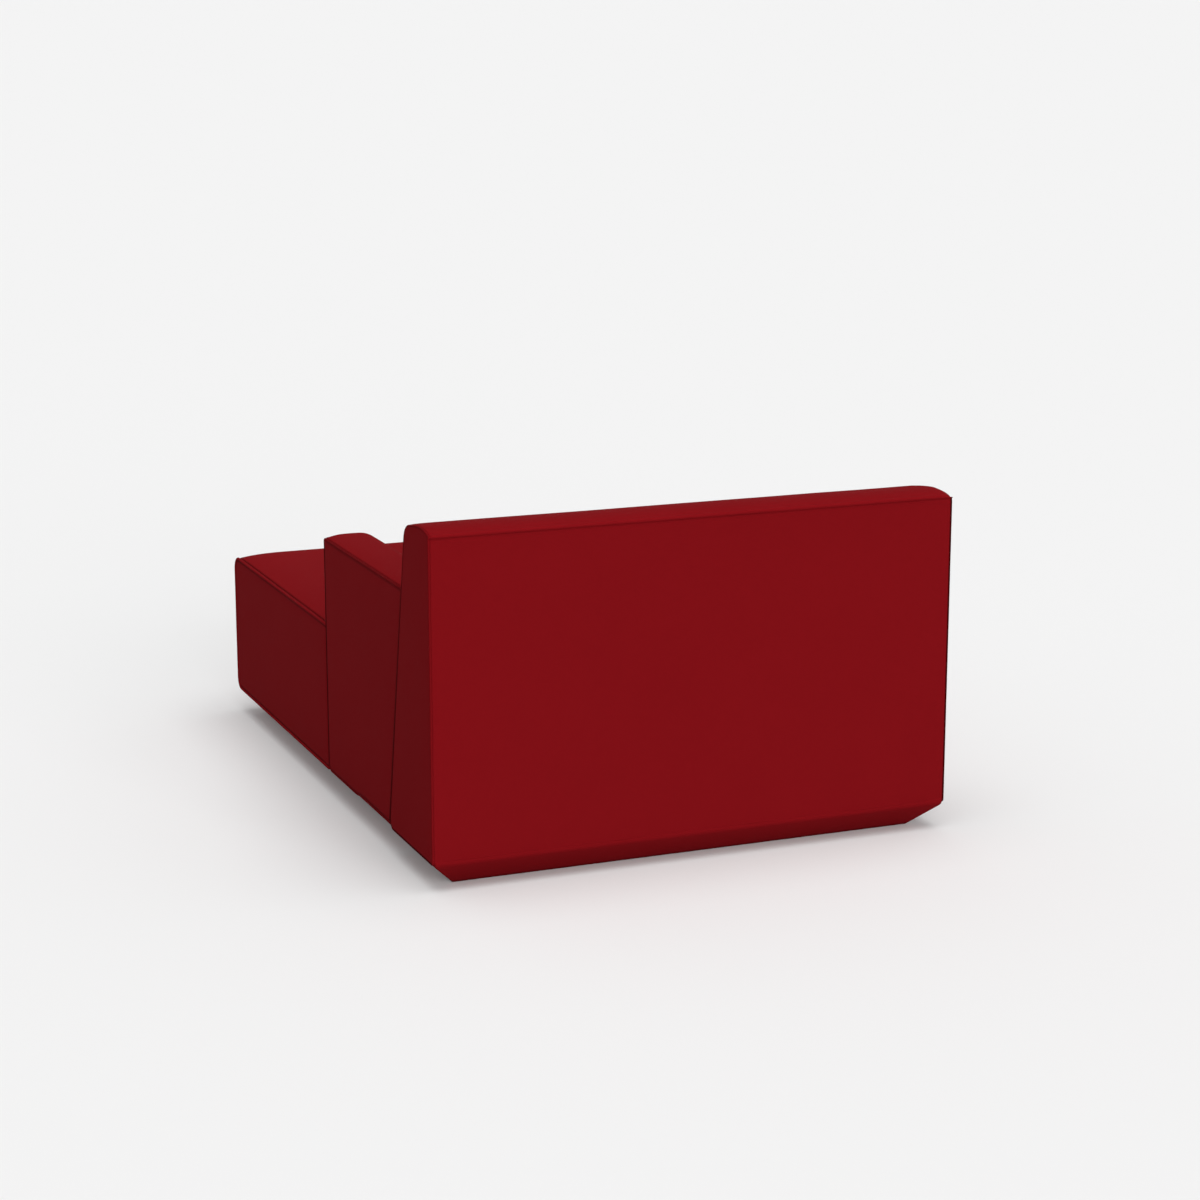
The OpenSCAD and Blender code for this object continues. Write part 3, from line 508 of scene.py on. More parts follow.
def tube(name, path, normals, closed, seed, radius, cord_painted_shades):
    """A raised seam along a path.

    normals are the outward directions of the outline in the YZ plane; the last argument gives the
    painted shade of the cord at each place.
    """
    cloth = Cloth()
    s = lengths(path + path[:1] if closed else path)
    rows = []
    turns = [2 * math.pi * k / CORD_SIDES for k in range(CORD_SIDES + 1)]
    for along, (x, y, z), (ny, nz) in zip(s, path, normals):
        slow, fast = wander(along, 0, 0, 0.05, seed), wander(along, 0, 0, 0.012, seed + 9)
        r = radius * (1 + 0.05 * slow + 0.03 * fast)
        ups = [(a, r * math.sin(a)) for a in turns]
        rows.append([(x + r * math.cos(a), y + ny * up, z + nz * up) for a, up in ups])
    uvs = [[((d + a * radius) * BIAS, (d - a * radius) * BIAS) for a in turns] for d in s]
    cloth.grid(rows, uvs, closed=closed, depth=lambda i, j: cord_painted_shades[i])
    return cloth.build(name)


WELT_SPACING = 0.007


def dense_ring(ring):
    """The closed ring with its stations at most one spacing apart."""
    out = []
    for a, b in zip(ring, ring[1:] + ring[:1]):
        n = max(1, math.ceil(math.dist(a[:2], b[:2]) / WELT_SPACING))
        for k in range(n):
            y, z, *normal = [p + (q - p) * k / n for p, q in zip(a, b)]
            out.append((y, z, *Vector(normal).normalized()))
    return out


def welt(name, ring, x_panel, sign, body, seed, seam, cut=False, shift=None, painted_shade=None):
    """Raised seam round one side panel, cut off at the notch where asked."""
    ring = dense_ring(ring)
    if cut:
        end_y = NOTCH_Y - 0.0005
        first = next(i for i, p in enumerate(ring) if p[0] > end_y)
        ring = [p for p in ring[first:] + ring[:first] if p[0] <= end_y]
    path, normals, cord_painted_shades = [], [], []
    for y, z, ny, nz in ring:
        x, h = x_panel - sign * seam.lie, -seam.lie
        if cut:
            drop = fold(NOTCH_Y - y)
            h -= drop
            x -= sign * drop * 0.5
        if shift:
            h += shift(x, y, z, ny, nz)
        path.append((x, y + ny * h, z + nz * h))
        normals.append((ny, nz))
        # Painted shade of the cord at this place
        cord_painted_shades.append(painted_shade(seam.dark, x, z, ny, nz) if painted_shade else seam.dark)
    cord = tube(name, path, normals, not cut, seed, seam.cord, cord_painted_shades)
    return finish_piece(cord, body, welt_cloth)


def set_material(obj, material):
    obj.data.materials.clear()
    obj.data.materials.append(material)


def finish_piece(obj, body, material, smooth_level=0):
    """Give a piece its material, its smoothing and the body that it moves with."""
    set_material(obj, material)
    if smooth_level:
        mod = obj.modifiers.new("round", "SUBSURF")
        mod.levels = mod.render_levels = smooth_level
    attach(obj, body)
    return obj


def thicken(obj, thickness, offset=0):
    """Give flat cloth its thickness; an offset of -1 puts it all on the inside."""
    mod = obj.modifiers.new("thick", "SOLIDIFY")
    mod.thickness = thickness
    mod.offset = offset


# Materials


def new_material(name):
    """A material, the graph of its nodes and its shader, which is linked to the output."""
    mat = bpy.data.materials.new(name)
    mat.use_nodes = True
    nodes = mat.node_tree.nodes
    nodes.clear()
    out = nodes.new("ShaderNodeOutputMaterial")
    shader = nodes.new("ShaderNodeBsdfPrincipled")
    mat.node_tree.links.new(shader.outputs[0], out.inputs[0])
    return mat, Graph(mat), shader


def set_inputs(node, **values):
    """Set a node's sockets by name, with _ for a space."""
    for key, value in values.items():
        node.inputs[key.replace("_", " ")].default_value = value


class Graph:
    """Short calls for the nodes of one material."""

    def __init__(self, mat):
        self.tree = mat.node_tree

    def node(self, kind, **settings):
        n = self.tree.nodes.new(kind)
        for key, value in settings.items():
            setattr(n, key, value)
        return n

    def link(self, a, b):
        self.tree.links.new(a, b)

    def put(self, value, socket):
        """Link a socket or set a plain value."""
        if hasattr(value, "links"):
            self.link(value, socket)
        else:
            socket.default_value = value

    def math(self, operation, a, b=0.0, c=None):
        n = self.node("ShaderNodeMath", operation=operation)
        self.put(a, n.inputs[0])
        self.put(b, n.inputs[1])
        if c is not None:
            self.put(c, n.inputs[2])
        return n.outputs[0]

    def mix(self, factor, a, b):
        n = self.node("ShaderNodeMix", data_type="RGBA")
        self.put(factor, n.inputs["Factor"])
        self.put(a, n.inputs["A"])
        self.put(b, n.inputs["B"])
        return n.outputs["Result"]

    def noise(self, vector, scale, detail, roughness=0.5):
        n = self.node("ShaderNodeTexNoise")
        set_inputs(n, Scale=scale, Detail=detail, Roughness=roughness)
        self.link(vector, n.inputs["Vector"])
        return n.outputs["Fac"]

    def place(self):
        return self.node("ShaderNodeTexCoord").outputs["Object"]

    def colour(self, shader, factor, a, b):
        """Colour the shader between two colours, by a factor."""
        self.link(self.mix(factor, (*a, 1), (*b, 1)), shader.inputs["Base Color"])

    def bump(self, shader, height, strength, distance):
        n = self.node("ShaderNodeBump")
        set_inputs(n, Strength=strength, Distance=distance)
        self.link(height, n.inputs["Height"])
        self.link(n.outputs["Normal"], shader.inputs["Normal"])


# Share of the cloth's dark colour that is left under the full painted seam shade
IN_SEAM = 0.13
SHEEN_TINT = (1.0, 0.55, 0.55, 1)


def woven(name, colour, dark, pitch=0.0011):
    """Fine plain weave with slightly mixed yarns; pitch is the distance between two of them."""
    mat, g, shader = new_material(name)
    uv = g.node("ShaderNodeUVMap", uv_map="cloth").outputs[0]
    split = g.node("ShaderNodeSeparateXYZ")
    g.link(uv, split.inputs[0])
    warp = g.math("SINE", g.math("MULTIPLY", split.outputs[0], math.pi / pitch))
    weft = g.math("SINE", g.math("MULTIPLY", split.outputs[1], math.pi / pitch))
    cross = g.math("MULTIPLY", warp, weft)
    crown = g.math("POWER", g.math("ABSOLUTE", cross), 0.6)
    over = g.math("MULTIPLY_ADD", cross, 0.5, 0.5)
    where = g.place()
    yarn = g.noise(where, 620, 3.0, 0.6)
    cloud = g.noise(where, 5.5, 4.0, 0.55)
    blend = g.math("MULTIPLY_ADD", over, 0.16, g.math("MULTIPLY_ADD", yarn, 0.5, -0.05))
    blend = g.math("ADD", blend, g.math("MULTIPLY_ADD", cloud, 0.5, -0.25))
    # Painted shade at the seams, stored on each point, darkens the cloth
    depth = g.node("ShaderNodeAttribute", attribute_name="painted_shade").outputs["Fac"]
    seam_shade_colour = tuple(c * IN_SEAM for c in dark)
    flat = g.mix(blend, (*colour, 1), (*dark, 1))
    base = g.mix(g.math("MULTIPLY", depth, 0.9), flat, (*seam_shade_colour, 1))
    g.link(base, shader.inputs["Base Color"])
    set_inputs(shader, Roughness=0.86, Specular_IOR_Level=0.015)
    set_inputs(shader, Sheen_Weight=0.004, Sheen_Roughness=0.45, Sheen_Tint=SHEEN_TINT)
    height = g.math("ADD", crown, g.math("MULTIPLY", yarn, 0.6))
    g.bump(shader, height, strength=0.35, distance=0.00025)
    return mat


def wood(name, light, dark, axis):
    """Planed timber with its grain along one axis."""
    mat, g, shader = new_material(name)
    mapping = g.node("ShaderNodeMapping")
    g.link(g.place(), mapping.inputs["Vector"])
    set_inputs(mapping, Scale=[0.12 if k == axis else 1.0 for k in range(3)])
    grain = g.noise(mapping.outputs[0], 95, 5.0, 0.6)
    fibre = g.noise(mapping.outputs[0], 900, 2.0)
    mixed = g.math("MULTIPLY_ADD", fibre, 0.25, g.math("MULTIPLY_ADD", grain, 1.3, -0.3))
    g.colour(shader, mixed, light, dark)
    set_inputs(shader, Roughness=0.62)
    g.bump(shader, mixed, strength=0.25, distance=0.0004)
    return mat


def metal(name, colour, roughness):
    """Zinc-plated steel with its faint spangle."""
    mat, g, shader = new_material(name)
    set_inputs(shader, Metallic=1.0)
    spangle = g.noise(g.place(), 160, 3.0)
    g.colour(shader, spangle, [c * 0.85 for c in colour], colour)
    g.link(g.math("MULTIPLY_ADD", spangle, 0.2, roughness - 0.1), shader.inputs["Roughness"])
    g.bump(shader, spangle, strength=0.08, distance=0.0002)
    return mat


def plastic(name, colour):
    """Moulded plastic with a fine speckle."""
    mat, g, shader = new_material(name)
    speck = g.noise(g.place(), 1400, 2.0)
    g.colour(shader, speck, colour, [c * 1.5 for c in colour])
    set_inputs(shader, Roughness=0.48)
    g.bump(shader, speck, strength=0.12, distance=0.0001)
    return mat


def felted(name, light, dark, scale):
    """Foam, felt or spun cloth: no weave, a fine irregular grain."""
    mat, g, shader = new_material(name)
    grain = g.noise(g.place(), scale, 3.0, 0.65)
    g.colour(shader, grain, light, dark)
    set_inputs(shader, Roughness=0.93, Specular_IOR_Level=0.2)
    g.bump(shader, grain, strength=0.5, distance=0.0005)
    return mat


RED, RED_DARK = (0.196, 0.0046, 0.0072), (0.170, 0.0037, 0.0058)
PINE, PINE_DARK = (0.62, 0.44, 0.26), (0.47, 0.31, 0.17)
cover_cloth = woven("cover_cloth", RED, RED_DARK)
welt_cloth = woven("welt_cloth", RED, RED_DARK, pitch=0.00105)
base_cloth = woven("base_cloth", RED, RED_DARK)
timber_x = wood("timber_x", PINE, PINE_DARK, axis=0)
timber_y = wood("timber_y", PINE, PINE_DARK, axis=1)
timber_z = wood("timber_z", PINE, PINE_DARK, axis=2)
plywood = wood("plywood", (0.66, 0.50, 0.32), (0.52, 0.37, 0.22), axis=2)
zinc = metal("zinc", (0.58, 0.59, 0.60), roughness=0.38)
glide_plastic = plastic("glide_plastic", (0.022, 0.022, 0.024))
foam = felted("foam", (0.82, 0.76, 0.58), (0.66, 0.58, 0.40), scale=260)
felt = felted("felt", (0.30, 0.31, 0.33), (0.20, 0.21, 0.22), scale=700)
dust_cloth = felted("dust_cloth", (0.018, 0.018, 0.020), (0.034, 0.034, 0.036), scale=900)
strap = woven("strap_cloth", (0.03, 0.03, 0.032), (0.014, 0.014, 0.015), pitch=0.002)

# Material of a CAD node by its slot; a slot that isn't here is timber
LOOKS = {
    "upholstery": cover_cloth,
    "base_cloth": base_cloth,
    "foam": foam,
    "felt": felt,
    "dust_cloth": dust_cloth,
    "webbing": strap,
    "plywood": plywood,
    "steel": zinc,
    "bush_steel": zinc,
    "glide": glide_plastic,
}
# Timber whose grain runs along Y or Z instead of X
GRAIN_Y = {
    "seat_left_board",
    "seat_right_board",
    "seat_inner_board",
    "seat_plinth_left",
    "seat_plinth_right",
    "seat_plinth_inner",
    "arm_bottom_rail",
    "arm_top_rail",
    "arm_plinth",
    "back_plinth_ends",
}
GRAIN_Z = {"seat_corner_blocks", "arm_front_post", "arm_rear_post", "back_ribs"}
slots = {s["node"]: s["material_slot"] for s in frame["record"]["subparts"]}
for node, obj in frame["nodes"].items():
    timber = timber_y if node in GRAIN_Y else timber_z if node in GRAIN_Z else timber_x
    set_material(obj, LOOKS.get(slots[node], timber))

# Seat

# Distances of the close rows and stations from the notch's edges
NOTCH_STEPS = (0.0006, 0.002, 0.0045, FOLD_R)
# Cells of the outline in front of the notch's wall and behind it
NOTCH_FRONT_CELLS, NOTCH_REAR_CELLS = 42, 24


def notch_shares(y0, y1):
    """Shares of a straight run that hit the notch and stand close together in front of it."""
    if y0 > y1:
        return [1 - s for s in notch_shares(y1, y0)][::-1]
    run = y1 - y0
    at = (NOTCH_Y - y0) / run
    front = [at * i / NOTCH_FRONT_CELLS for i in range(1, NOTCH_FRONT_CELLS - 1)]
    near = [at - d / run for d in NOTCH_STEPS]
    rear = [at + (1 - at) * i / NOTCH_REAR_CELLS for i in range(1, NOTCH_REAR_CELLS)]
    return sorted(front + near + [at] + rear)


seat_sides = outline(
    body_corners(FRONT_Y, SEAT_Z),
    radii=[0.028, 0.008, 0.008, 0.034],
    half_steps=4,
    shares=[notch_shares, spaced(18), notch_shares, spaced(18)],
)
seat, seat_ring = block(
    "seat_upholstery",
    seat_sides,
    -SEAT_X,
    SEAT_X,
    crowns=[(0.0, 0.06, 0.0), (0.003, 0.06, 0.0), (0.018, 0.12, 0.001), (0.004, 0.06, 0.001)],
    reach=0.115,
    middle=56,
    seed=1.7,
    seam=OPEN,
    notch_rows=[NOTCH_X - d for d in reversed(NOTCH_STEPS)] + [NOTCH_X, NOTCH_X + 0.006],
)
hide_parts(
    "seat_cover",
    "seat_foam_front",
    "seat_foam_rear",
    "seat_front_pad",
    "seat_left_pad",
    "seat_right_pad",
    "seat_rear_pad",
)
finish_piece(seat, "seat", cover_cloth, smooth_level=1)
welt("seat_seam_left", seat_ring, -SEAT_X, -1, "seat", seed=3.1, seam=OPEN)
welt("seat_seam_right", seat_ring, SEAT_X, 1, "seat", seed=4.2, seam=OPEN, cut=True)

# Armrest

# Rise of the lower edge, where it begins and its run
TUCK, TUCK_Y, TUCK_RUN = 0.005, 0.235, 0.06
# Fall of the top at its inner edge and the distance over which it ends
FALL, FALL_REACH = 0.0150, 0.05
# Rise of the outer front tip, how far round it that reaches, and where the tip is
TIP, TIP_REACH = 0.0045, 0.0075
TIP_AT = (ARM_X1 - 0.003, ARM_FRONT + 0.004, ARM_Z - 0.003)


def arm_shift(x, y, z, ny, nz):
    """The lower edge lies higher behind the front third, and the top falls towards the seat."""
    low = -TUCK * ramp(y, TUCK_Y, TUCK_RUN) * ramp(-nz, 0.3, 0.7)
    fall = -FALL * (1 - swell((x - ARM_X0) / FALL_REACH)) * ramp(nz, 0.1, 0.7)
    # The three seams that meet at the outer front corner push its tip up
    return low + fall + TIP * bell(math.dist((x, y, z), TIP_AT) / TIP_REACH)


def arm_painted_shade(painted_shade_level, x, z, ny, nz):
    """Less painted seam shade along the top, open to the light, and along the lower edge."""
    return painted_shade_level * (1 - max(0.62 * ramp(nz, 0.0, 0.7), 0.6 * ramp(-nz, 0.2, 0.6)))


arm_look = {"seam": ARM_SEAM, "shift": arm_shift, "painted_shade": arm_painted_shade}
arm_sides = outline(
    body_corners(ARM_FRONT, ARM_Z),
    radii=[0.022, 0.012, 0.012, 0.016],
    half_steps=4,
    shares=[spaced(30)] * 4,
)
arm, arm_ring = block(
    "armrest_upholstery",
    arm_sides,
    ARM_X0,
    ARM_X1,
    crowns=[(0.0, 0.04, 0.0), (0.003, 0.04, 0.0), (0.0095, 0.05, 0.003), (0.0025, 0.03, 0.0095)],
    reach=0.052,
    middle=4,
    seed=2.9,
    **arm_look,
)
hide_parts("arm_cover", "arm_top_foam", "arm_side_pads", "arm_front_pad", "arm_rear_pad")
finish_piece(arm, "armrest", cover_cloth, smooth_level=1)
welt("armrest_seam_inner", arm_ring, ARM_X0, -1, "armrest", seed=5.3, **arm_look)
welt("armrest_seam_outer", arm_ring, ARM_X1, 1, "armrest", seed=6.4, **arm_look)

# Backrest

# Rise of the rolled top over the straight line of the outline, by distance from the rear face
ROLL = (
    (-0.175, 0.0),
    (-0.162, 0.0),
    (-0.152, 0.0002),
    (-0.137, 0.0008),
    (-0.121, 0.0016),
    (-0.101, 0.0052),
    (-0.078, 0.0088),
    (-0.055, 0.0106),
    (-0.032, 0.0096),
    (-0.0145, 0.0062),
    (-0.003, 0.0018),
    (0.006, 0.0),
    (0.020, 0.0),
)


def through(table, t):
    """Smooth curve through a table's values, at t."""
    if not table[0][0] < t < table[-1][0]:
        return 0.0
    k = max(i for i in range(1, len(table) - 2) if table[i][0] <= t or i == 1)
    (t0, v0), (t1, v1), (t2, v2), (t3, v3) = table[k - 1 : k + 3]
    run = t2 - t1
    m1, m2 = run * (v2 - v0) / (t2 - t0), run * (v3 - v1) / (t3 - t1)
    u = clamp((t - t1) / run)
    return v1 + (v2 - v1) * smooth(u) + u * (1 - u) * (m1 * (1 - u) - m2 * u)


# Shares of the rear face near its foot and near the fold under the roll
BACK_LOW_STEPS = [0.002, 0.006, 0.013]
BACK_TOP_STEPS = [0.955, 0.968, 0.977, 0.9845, 0.988, 0.991, 0.9935, 0.9958, 0.998]
back_sides = outline(
    [
        (BACK_FOOT_Y, BODY_Z),
        (REAR_Y, BODY_Z),
        (REAR_Y, LIP_Z),
        (back_front_y(BACK_Z) - 0.005, BACK_Z),
    ],
    radii=[0.020, 0.008, 0.004, 0.040],
    half_steps=5,
    shares=[spaced(22), BACK_LOW_STEPS + spaced(40)[:-1] + BACK_TOP_STEPS, spaced(22), spaced(51)],
)

# Height of the fold under the roll, its depth, half height and half height of its painted shade
CREASE_Z = LIP_Z - 0.0056
CREASE, CREASE_HALF, CREASE_SHADE = 0.0012, 0.0040, 0.0036
# How far the lip stands over the rear face and the height over which it comes forward
LIP, LIP_RISE = 0.0026, 0.0045
# Sag of the roll at its far end and how far along it that reaches
SAG, SAG_REACH = 0.0080, 0.034


def back_painted_shade(painted_shade_level, x, z, ny, nz):
    """Less painted seam shade along the top and the near rear edge, where seams are open to the
    light;
    painted shade in the fold under the roll.
    """
    rear = ramp(ny, 0.3, 0.5)
    light = max(0.8 * ramp(nz, 0.0, 0.7), 0.92 * rear * ramp(x, 0.0, 0.1))
    return max(painted_shade_level * (1 - light), 0.04 * bell((z - CREASE_Z) / CREASE_SHADE) * rear)


def back_shift(x, y, z, ny, nz):
    """The rolled top, its lip over the rear face and the fold under the lip."""
    h = through(ROLL, y - REAR_Y) * ramp(nz, -0.05, 0.22)
    h -= SAG * (1 - swell((x + BACK_X) / SAG_REACH)) * ramp(nz, 0.3, 0.5)
    if ny > 0.05:
        # The fold is firmer in some places
        firm = 0.75 + 0.35 * wander(x, 0, 0, 0.21, 6.1)
        h += LIP * ramp(z, CREASE_Z, LIP_RISE) * ramp(ny, 0.0, 0.5)
        h -= CREASE * firm * bell((z - CREASE_Z) / CREASE_HALF) * ramp(ny, 0.3, 0.5)
    return h


back_look = {"seam": TIGHT, "shift": back_shift, "painted_shade": back_painted_shade}
back, back_ring = block(
    "backrest_upholstery",
    back_sides,
    -BACK_X,
    BACK_NEAR_X,
    crowns=[(0.0, 0.06, 0.0), (0.001, 0.05, 0.0), (0.0018, 0.06, 0.0018), (0.003, 0.09, 0.0022)],
    reach=0.032,
    middle=56,
    seed=4.3,
    **back_look,
)
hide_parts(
    "back_cover", "back_front_foam", "back_top_foam", "back_rear_pad", "back_end_pads"
)
finish_piece(back, "backrest", cover_cloth, smooth_level=1)
welt("backrest_seam_left", back_ring, -BACK_X, -1, "backrest", seed=7.5, **back_look)
welt("backrest_seam_right", back_ring, BACK_NEAR_X, 1, "backrest", seed=8.6, **back_look)

# Covers of the base


class Skirt:
    """Cloth round a plinth, drawn as plan outlines at several heights, with a hem turned under."""

    THICKNESS, CORNER_R, CORNER_STEPS = 0.0011, 0.0030, 4
    # The hem's width and height, how far in and down the cloth turns first, the hem's corners
    HEM, HEM_Z, TURN_IN, TURN_DOWN, HEM_CORNER_R = 0.014, 0.0028, 0.0012, 0.0014, 0.0004
    # Top of the cuts for the connector bars
    CUT_Z = GLIDE_Z + 0.0054
    # Distance between two stations, the least from the end of a cut, and a cut's reach inwards
    SPACING, CLEAR, CUT_REACH = 0.022, 0.004, 0.02
    # Unevenness of the stretched cloth and the distance from a corner over which it comes in
    SLACK, SLACK_REACH = 0.0006, 0.05

    def __init__(self, name, body, levels, cuts, seed):
        """levels are (height, corners of the plan outline) from the top down.

        The outlines run anticlockwise. cuts are (axis, place on the other axis, start, end).
        """
        levels = [(z, [Vector(p) for p in corners]) for z, corners in levels]
        self.seed = seed
        self.low = levels[-1][1]
        self.stations = [self.shares_of(i, cuts) for i in range(len(self.low))]
        (z1, c1), (z0, c0) = levels[-2:]
        steps = [z1 + (z0 - z1) * t for t in (0.25, 0.5, 0.75)] + [self.CUT_Z]
        between = [(z, [a.lerp(b, (z1 - z) / (z1 - z0)) for a, b in zip(c1, c0)]) for z in steps]
        levels = levels[:-1] + between + levels[-1:]
        rings = [self.ring(corners, z, self.CORNER_R) for z, corners in levels]
        turned = self.inset(c0, self.TURN_IN)
        rings.append(self.ring(turned, self.HEM_Z - self.TURN_DOWN, self.CORNER_R))
        rings.append(self.ring(self.inset(c0, self.HEM), self.HEM_Z, self.HEM_CORNER_R))
        cut_from = len(levels) - 2
        n = len(rings[0])
        s = lengths(rings[0] + rings[0][:1])
        # The cloth's height is measured at one station
        v = lengths([ring[n // 8] for ring in rings])
        cloth = Cloth()
        points = [[ring[i] for ring in rings] for i in range(n)]
        uvs = [[(s[i], v[j]) for j in range(len(rings))] for i in range(n + 1)]

        def outside_cuts(i, j):
            return j < cut_from or not self.in_cut(points[i][j], points[(i + 1) % n][j], cuts)

        cloth.grid(points, uvs, outside_cuts, closed=True)
        self.obj = cloth.build(name, turn=False)
        finish_piece(self.obj, body, base_cloth)
        thicken(self.obj, self.THICKNESS, offset=-1)

    def corner_edges(self, corners):
        """Each corner of the outline with the directions of the edges before and after it."""
        after = corners[1:] + corners[:1]
        ways = [(q - p).normalized() for p, q in zip(corners, after)]
        return zip(corners, ways[-1:] + ways, ways)

    def inset(self, corners, d):
        """Corners of the outline moved inwards by a distance."""
        out = []
        for p, u, w in self.corner_edges(corners):
            n1, n2 = Vector((-u.y, u.x)), Vector((-w.y, w.x))
            out.append(p + (n1 + n2) * d / (1 + n1.dot(n2)))
        return out

    def shares_of(self, i, cuts):
        """Shares along one straight side: even ones and the ends of the cuts."""
        a, b = self.low[i], self.low[(i + 1) % len(self.low)]
        run = (b - a).length
        even = spaced(math.ceil(run / self.SPACING) - 1)
        ends = []
        for axis, at, lo, hi in cuts:
            if abs(a[1 - axis] - at) < 1e-4 and abs(b[1 - axis] - at) < 1e-4:
                ends += [(value - a[axis]) / (b[axis] - a[axis]) for value in (lo, hi)]
        even = [s for s in even if all(abs(s - e) * run > self.CLEAR for e in ends)]
        return sorted(even + ends)

    def in_cut(self, p, q, cuts):
        """Whether the middle between two points lies in one of the cuts."""
        middle = (Vector(p) + Vector(q)) / 2
        return any(
            abs(middle[1 - axis] - at) < self.CUT_REACH and lo < middle[axis] < hi
            for axis, at, lo, hi in cuts
        )

    def ring(self, corners, z, r):
        """One level of the skirt: rounded corners and the stations between them."""
        out = []
        shares = [k / self.CORNER_STEPS for k in range(self.CORNER_STEPS + 1)]
        for i, (p, u, w) in enumerate(self.corner_edges(corners)):
            a, b = p - u * r, p + w * r
            line = [(1 - t) ** 2 * a + 2 * t * (1 - t) * p + t * t * b for t in shares]
            run = corners[(i + 1) % len(corners)] - p
            for s in self.stations[i]:
                q = p + run * s
                slack = self.SLACK * smooth(min(s, 1 - s) * run.length / self.SLACK_REACH)
                slack *= 0.5 + 0.5 * wander(q.x, q.y, z, 0.07, self.seed)
                line.append(q - Vector((w.y, -w.x)) * slack)
            out += [(q.x, q.y, z) for q in line]
        return out


# Half width of the cuts for the connector bars, and the bars' middles under armrest and backrest
BAR_HALF = 0.0204
ARM_BARS = (0.165, rest_rear_y(BODY_Z) - 0.130)
BACK_BARS = (-0.330, 0.330)
ARM_CUT = [(y - BAR_HALF, y + BAR_HALF) for y in ARM_BARS]
BACK_CUT = [(x - BAR_HALF, x + BAR_HALF) for x in BACK_BARS]
seat_rear = rest_rear_y(BODY_Z) - FOLD_R
notch_x, notch_y = NOTCH_X - 0.0003, NOTCH_Y - 0.0003
# Height at which the bevels end, and how far in they run at the sides and at the rear
FLOOR_END, SIDE_IN, REAR_IN = 0.0012, 0.061, 0.059
# How far in the base cloth begins under the side seams
UNDER_SEAM = 0.0045


def box_corners(x0, x1, y0, y1):
    return [(x0, y0), (x1, y0), (x1, y1), (x0, y1)]


def seat_plan(x, y_front):
    """The seat base's six corners for its half width and its front."""
    front, notch = [(-x, y_front), (x, y_front)], [(x, notch_y), (notch_x, notch_y)]
    return [*front, *notch, (notch_x, seat_rear), (-x, seat_rear)]


# Levels of each base: height, how far in it lies at the sides, and at the front or the rear
SEAT_LEVELS = (
    (0.0640, UNDER_SEAM, 0.0125),
    (0.0602, UNDER_SEAM, 0.0140),
    (FLOOR_END, SIDE_IN, REAR_IN),
)
seat_skirt = Skirt(
    "seat_base_cloth",
    "seat",
    [(z, seat_plan(SEAT_X - side, FRONT_Y + front)) for z, side, front in SEAT_LEVELS],
    cuts=[(1, notch_x, *c) for c in ARM_CUT] + [(0, seat_rear, *c) for c in BACK_CUT],
    seed=11.2,
)
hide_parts("seat_base_cover")
arm_left, arm_front = ARM_X0 + 0.0105, ARM_FRONT + 0.018
ARM_LEVELS = ((BODY_Z + 0.0058, UNDER_SEAM), (BODY_Z, UNDER_SEAM), (FLOOR_END, SIDE_IN))
arm_skirt = Skirt(
    "armrest_base_cloth",
    "armrest",
    [(z, box_corners(arm_left, ARM_X1 - side, arm_front, seat_rear)) for z, side in ARM_LEVELS],
    cuts=[(1, arm_left, *c) for c in ARM_CUT],
    seed=12.6,
)
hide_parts("arm_base_cover")
back_front = BACK_FOOT_Y + 0.020
BACK_LEVELS = (
    (0.0720, UNDER_SEAM, 0.0012),
    (0.0660, UNDER_SEAM, 0.0006),
    (0.0615, UNDER_SEAM, 0.0005),
    (0.0590, UNDER_SEAM, 0.0012),
    (0.0565, UNDER_SEAM + 0.001, 0.0026),
    (0.0535, UNDER_SEAM + 0.003, 0.0050),
    (FLOOR_END, SIDE_IN, REAR_IN),
)
back_skirt = Skirt(
    "backrest_base_cloth",
    "backrest",
    [
        (z, box_corners(side - BACK_X, BACK_X - side, back_front, REAR_Y - rear))
        for z, side, rear in BACK_LEVELS
    ],
    cuts=[(0, back_front, *c) for c in BACK_CUT],
    seed=13.9,
)
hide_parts("back_base_cover")

# Hidden soft layers: dust cover under the seat, felt over its springs, webbing of the backrest

# Sag of a sheet and the distance from its edge over which it comes in
SHEET_SAG, SHEET_EDGE = 0.0006, 0.05


def cut_sheet(name, box, cut, z, thickness, spacing, seed, material):
    """Flat sheet under or inside the seat, and its flat area.

    box is its half width, front and rear; cut is where the corner for the armrest begins.
    """
    x, y0, y1 = box

    def places(a, b, at):
        n, m = math.ceil((at - a) / spacing), math.ceil((b - at) / spacing)
        before = [a + (at - a) * i / n for i in range(n)]
        return before + [at + (b - at) * i / m for i in range(m + 1)]

    def sheet_point(px, py):
        corner = math.hypot(max(0.0, cut[0] - px), max(0.0, cut[1] - py))
        edge = min(px + x, x - px, py - y0, y1 - py, corner)
        sag = SHEET_SAG * smooth(edge / SHEET_EDGE) * (1 + wander(px, py, 0, 0.11, seed))
        return (px, py, z - sag)

    def outside_corner(i, j):
        return xs[j] < cut[0] - 1e-6 or ys[i] < cut[1] - 1e-6

    xs, ys = places(-x, x, cut[0]), places(y0, y1, cut[1])
    cloth = Cloth()
    points = [[sheet_point(px, py) for px in xs] for py in ys]
    cloth.grid(points, [[p[:2] for p in row] for row in points], outside_corner)
    obj = finish_piece(cloth.build(name), "seat", material)
    thicken(obj, thickness)
    return obj, 2 * x * (y1 - y0) - (x - cut[0]) * (y1 - cut[1])


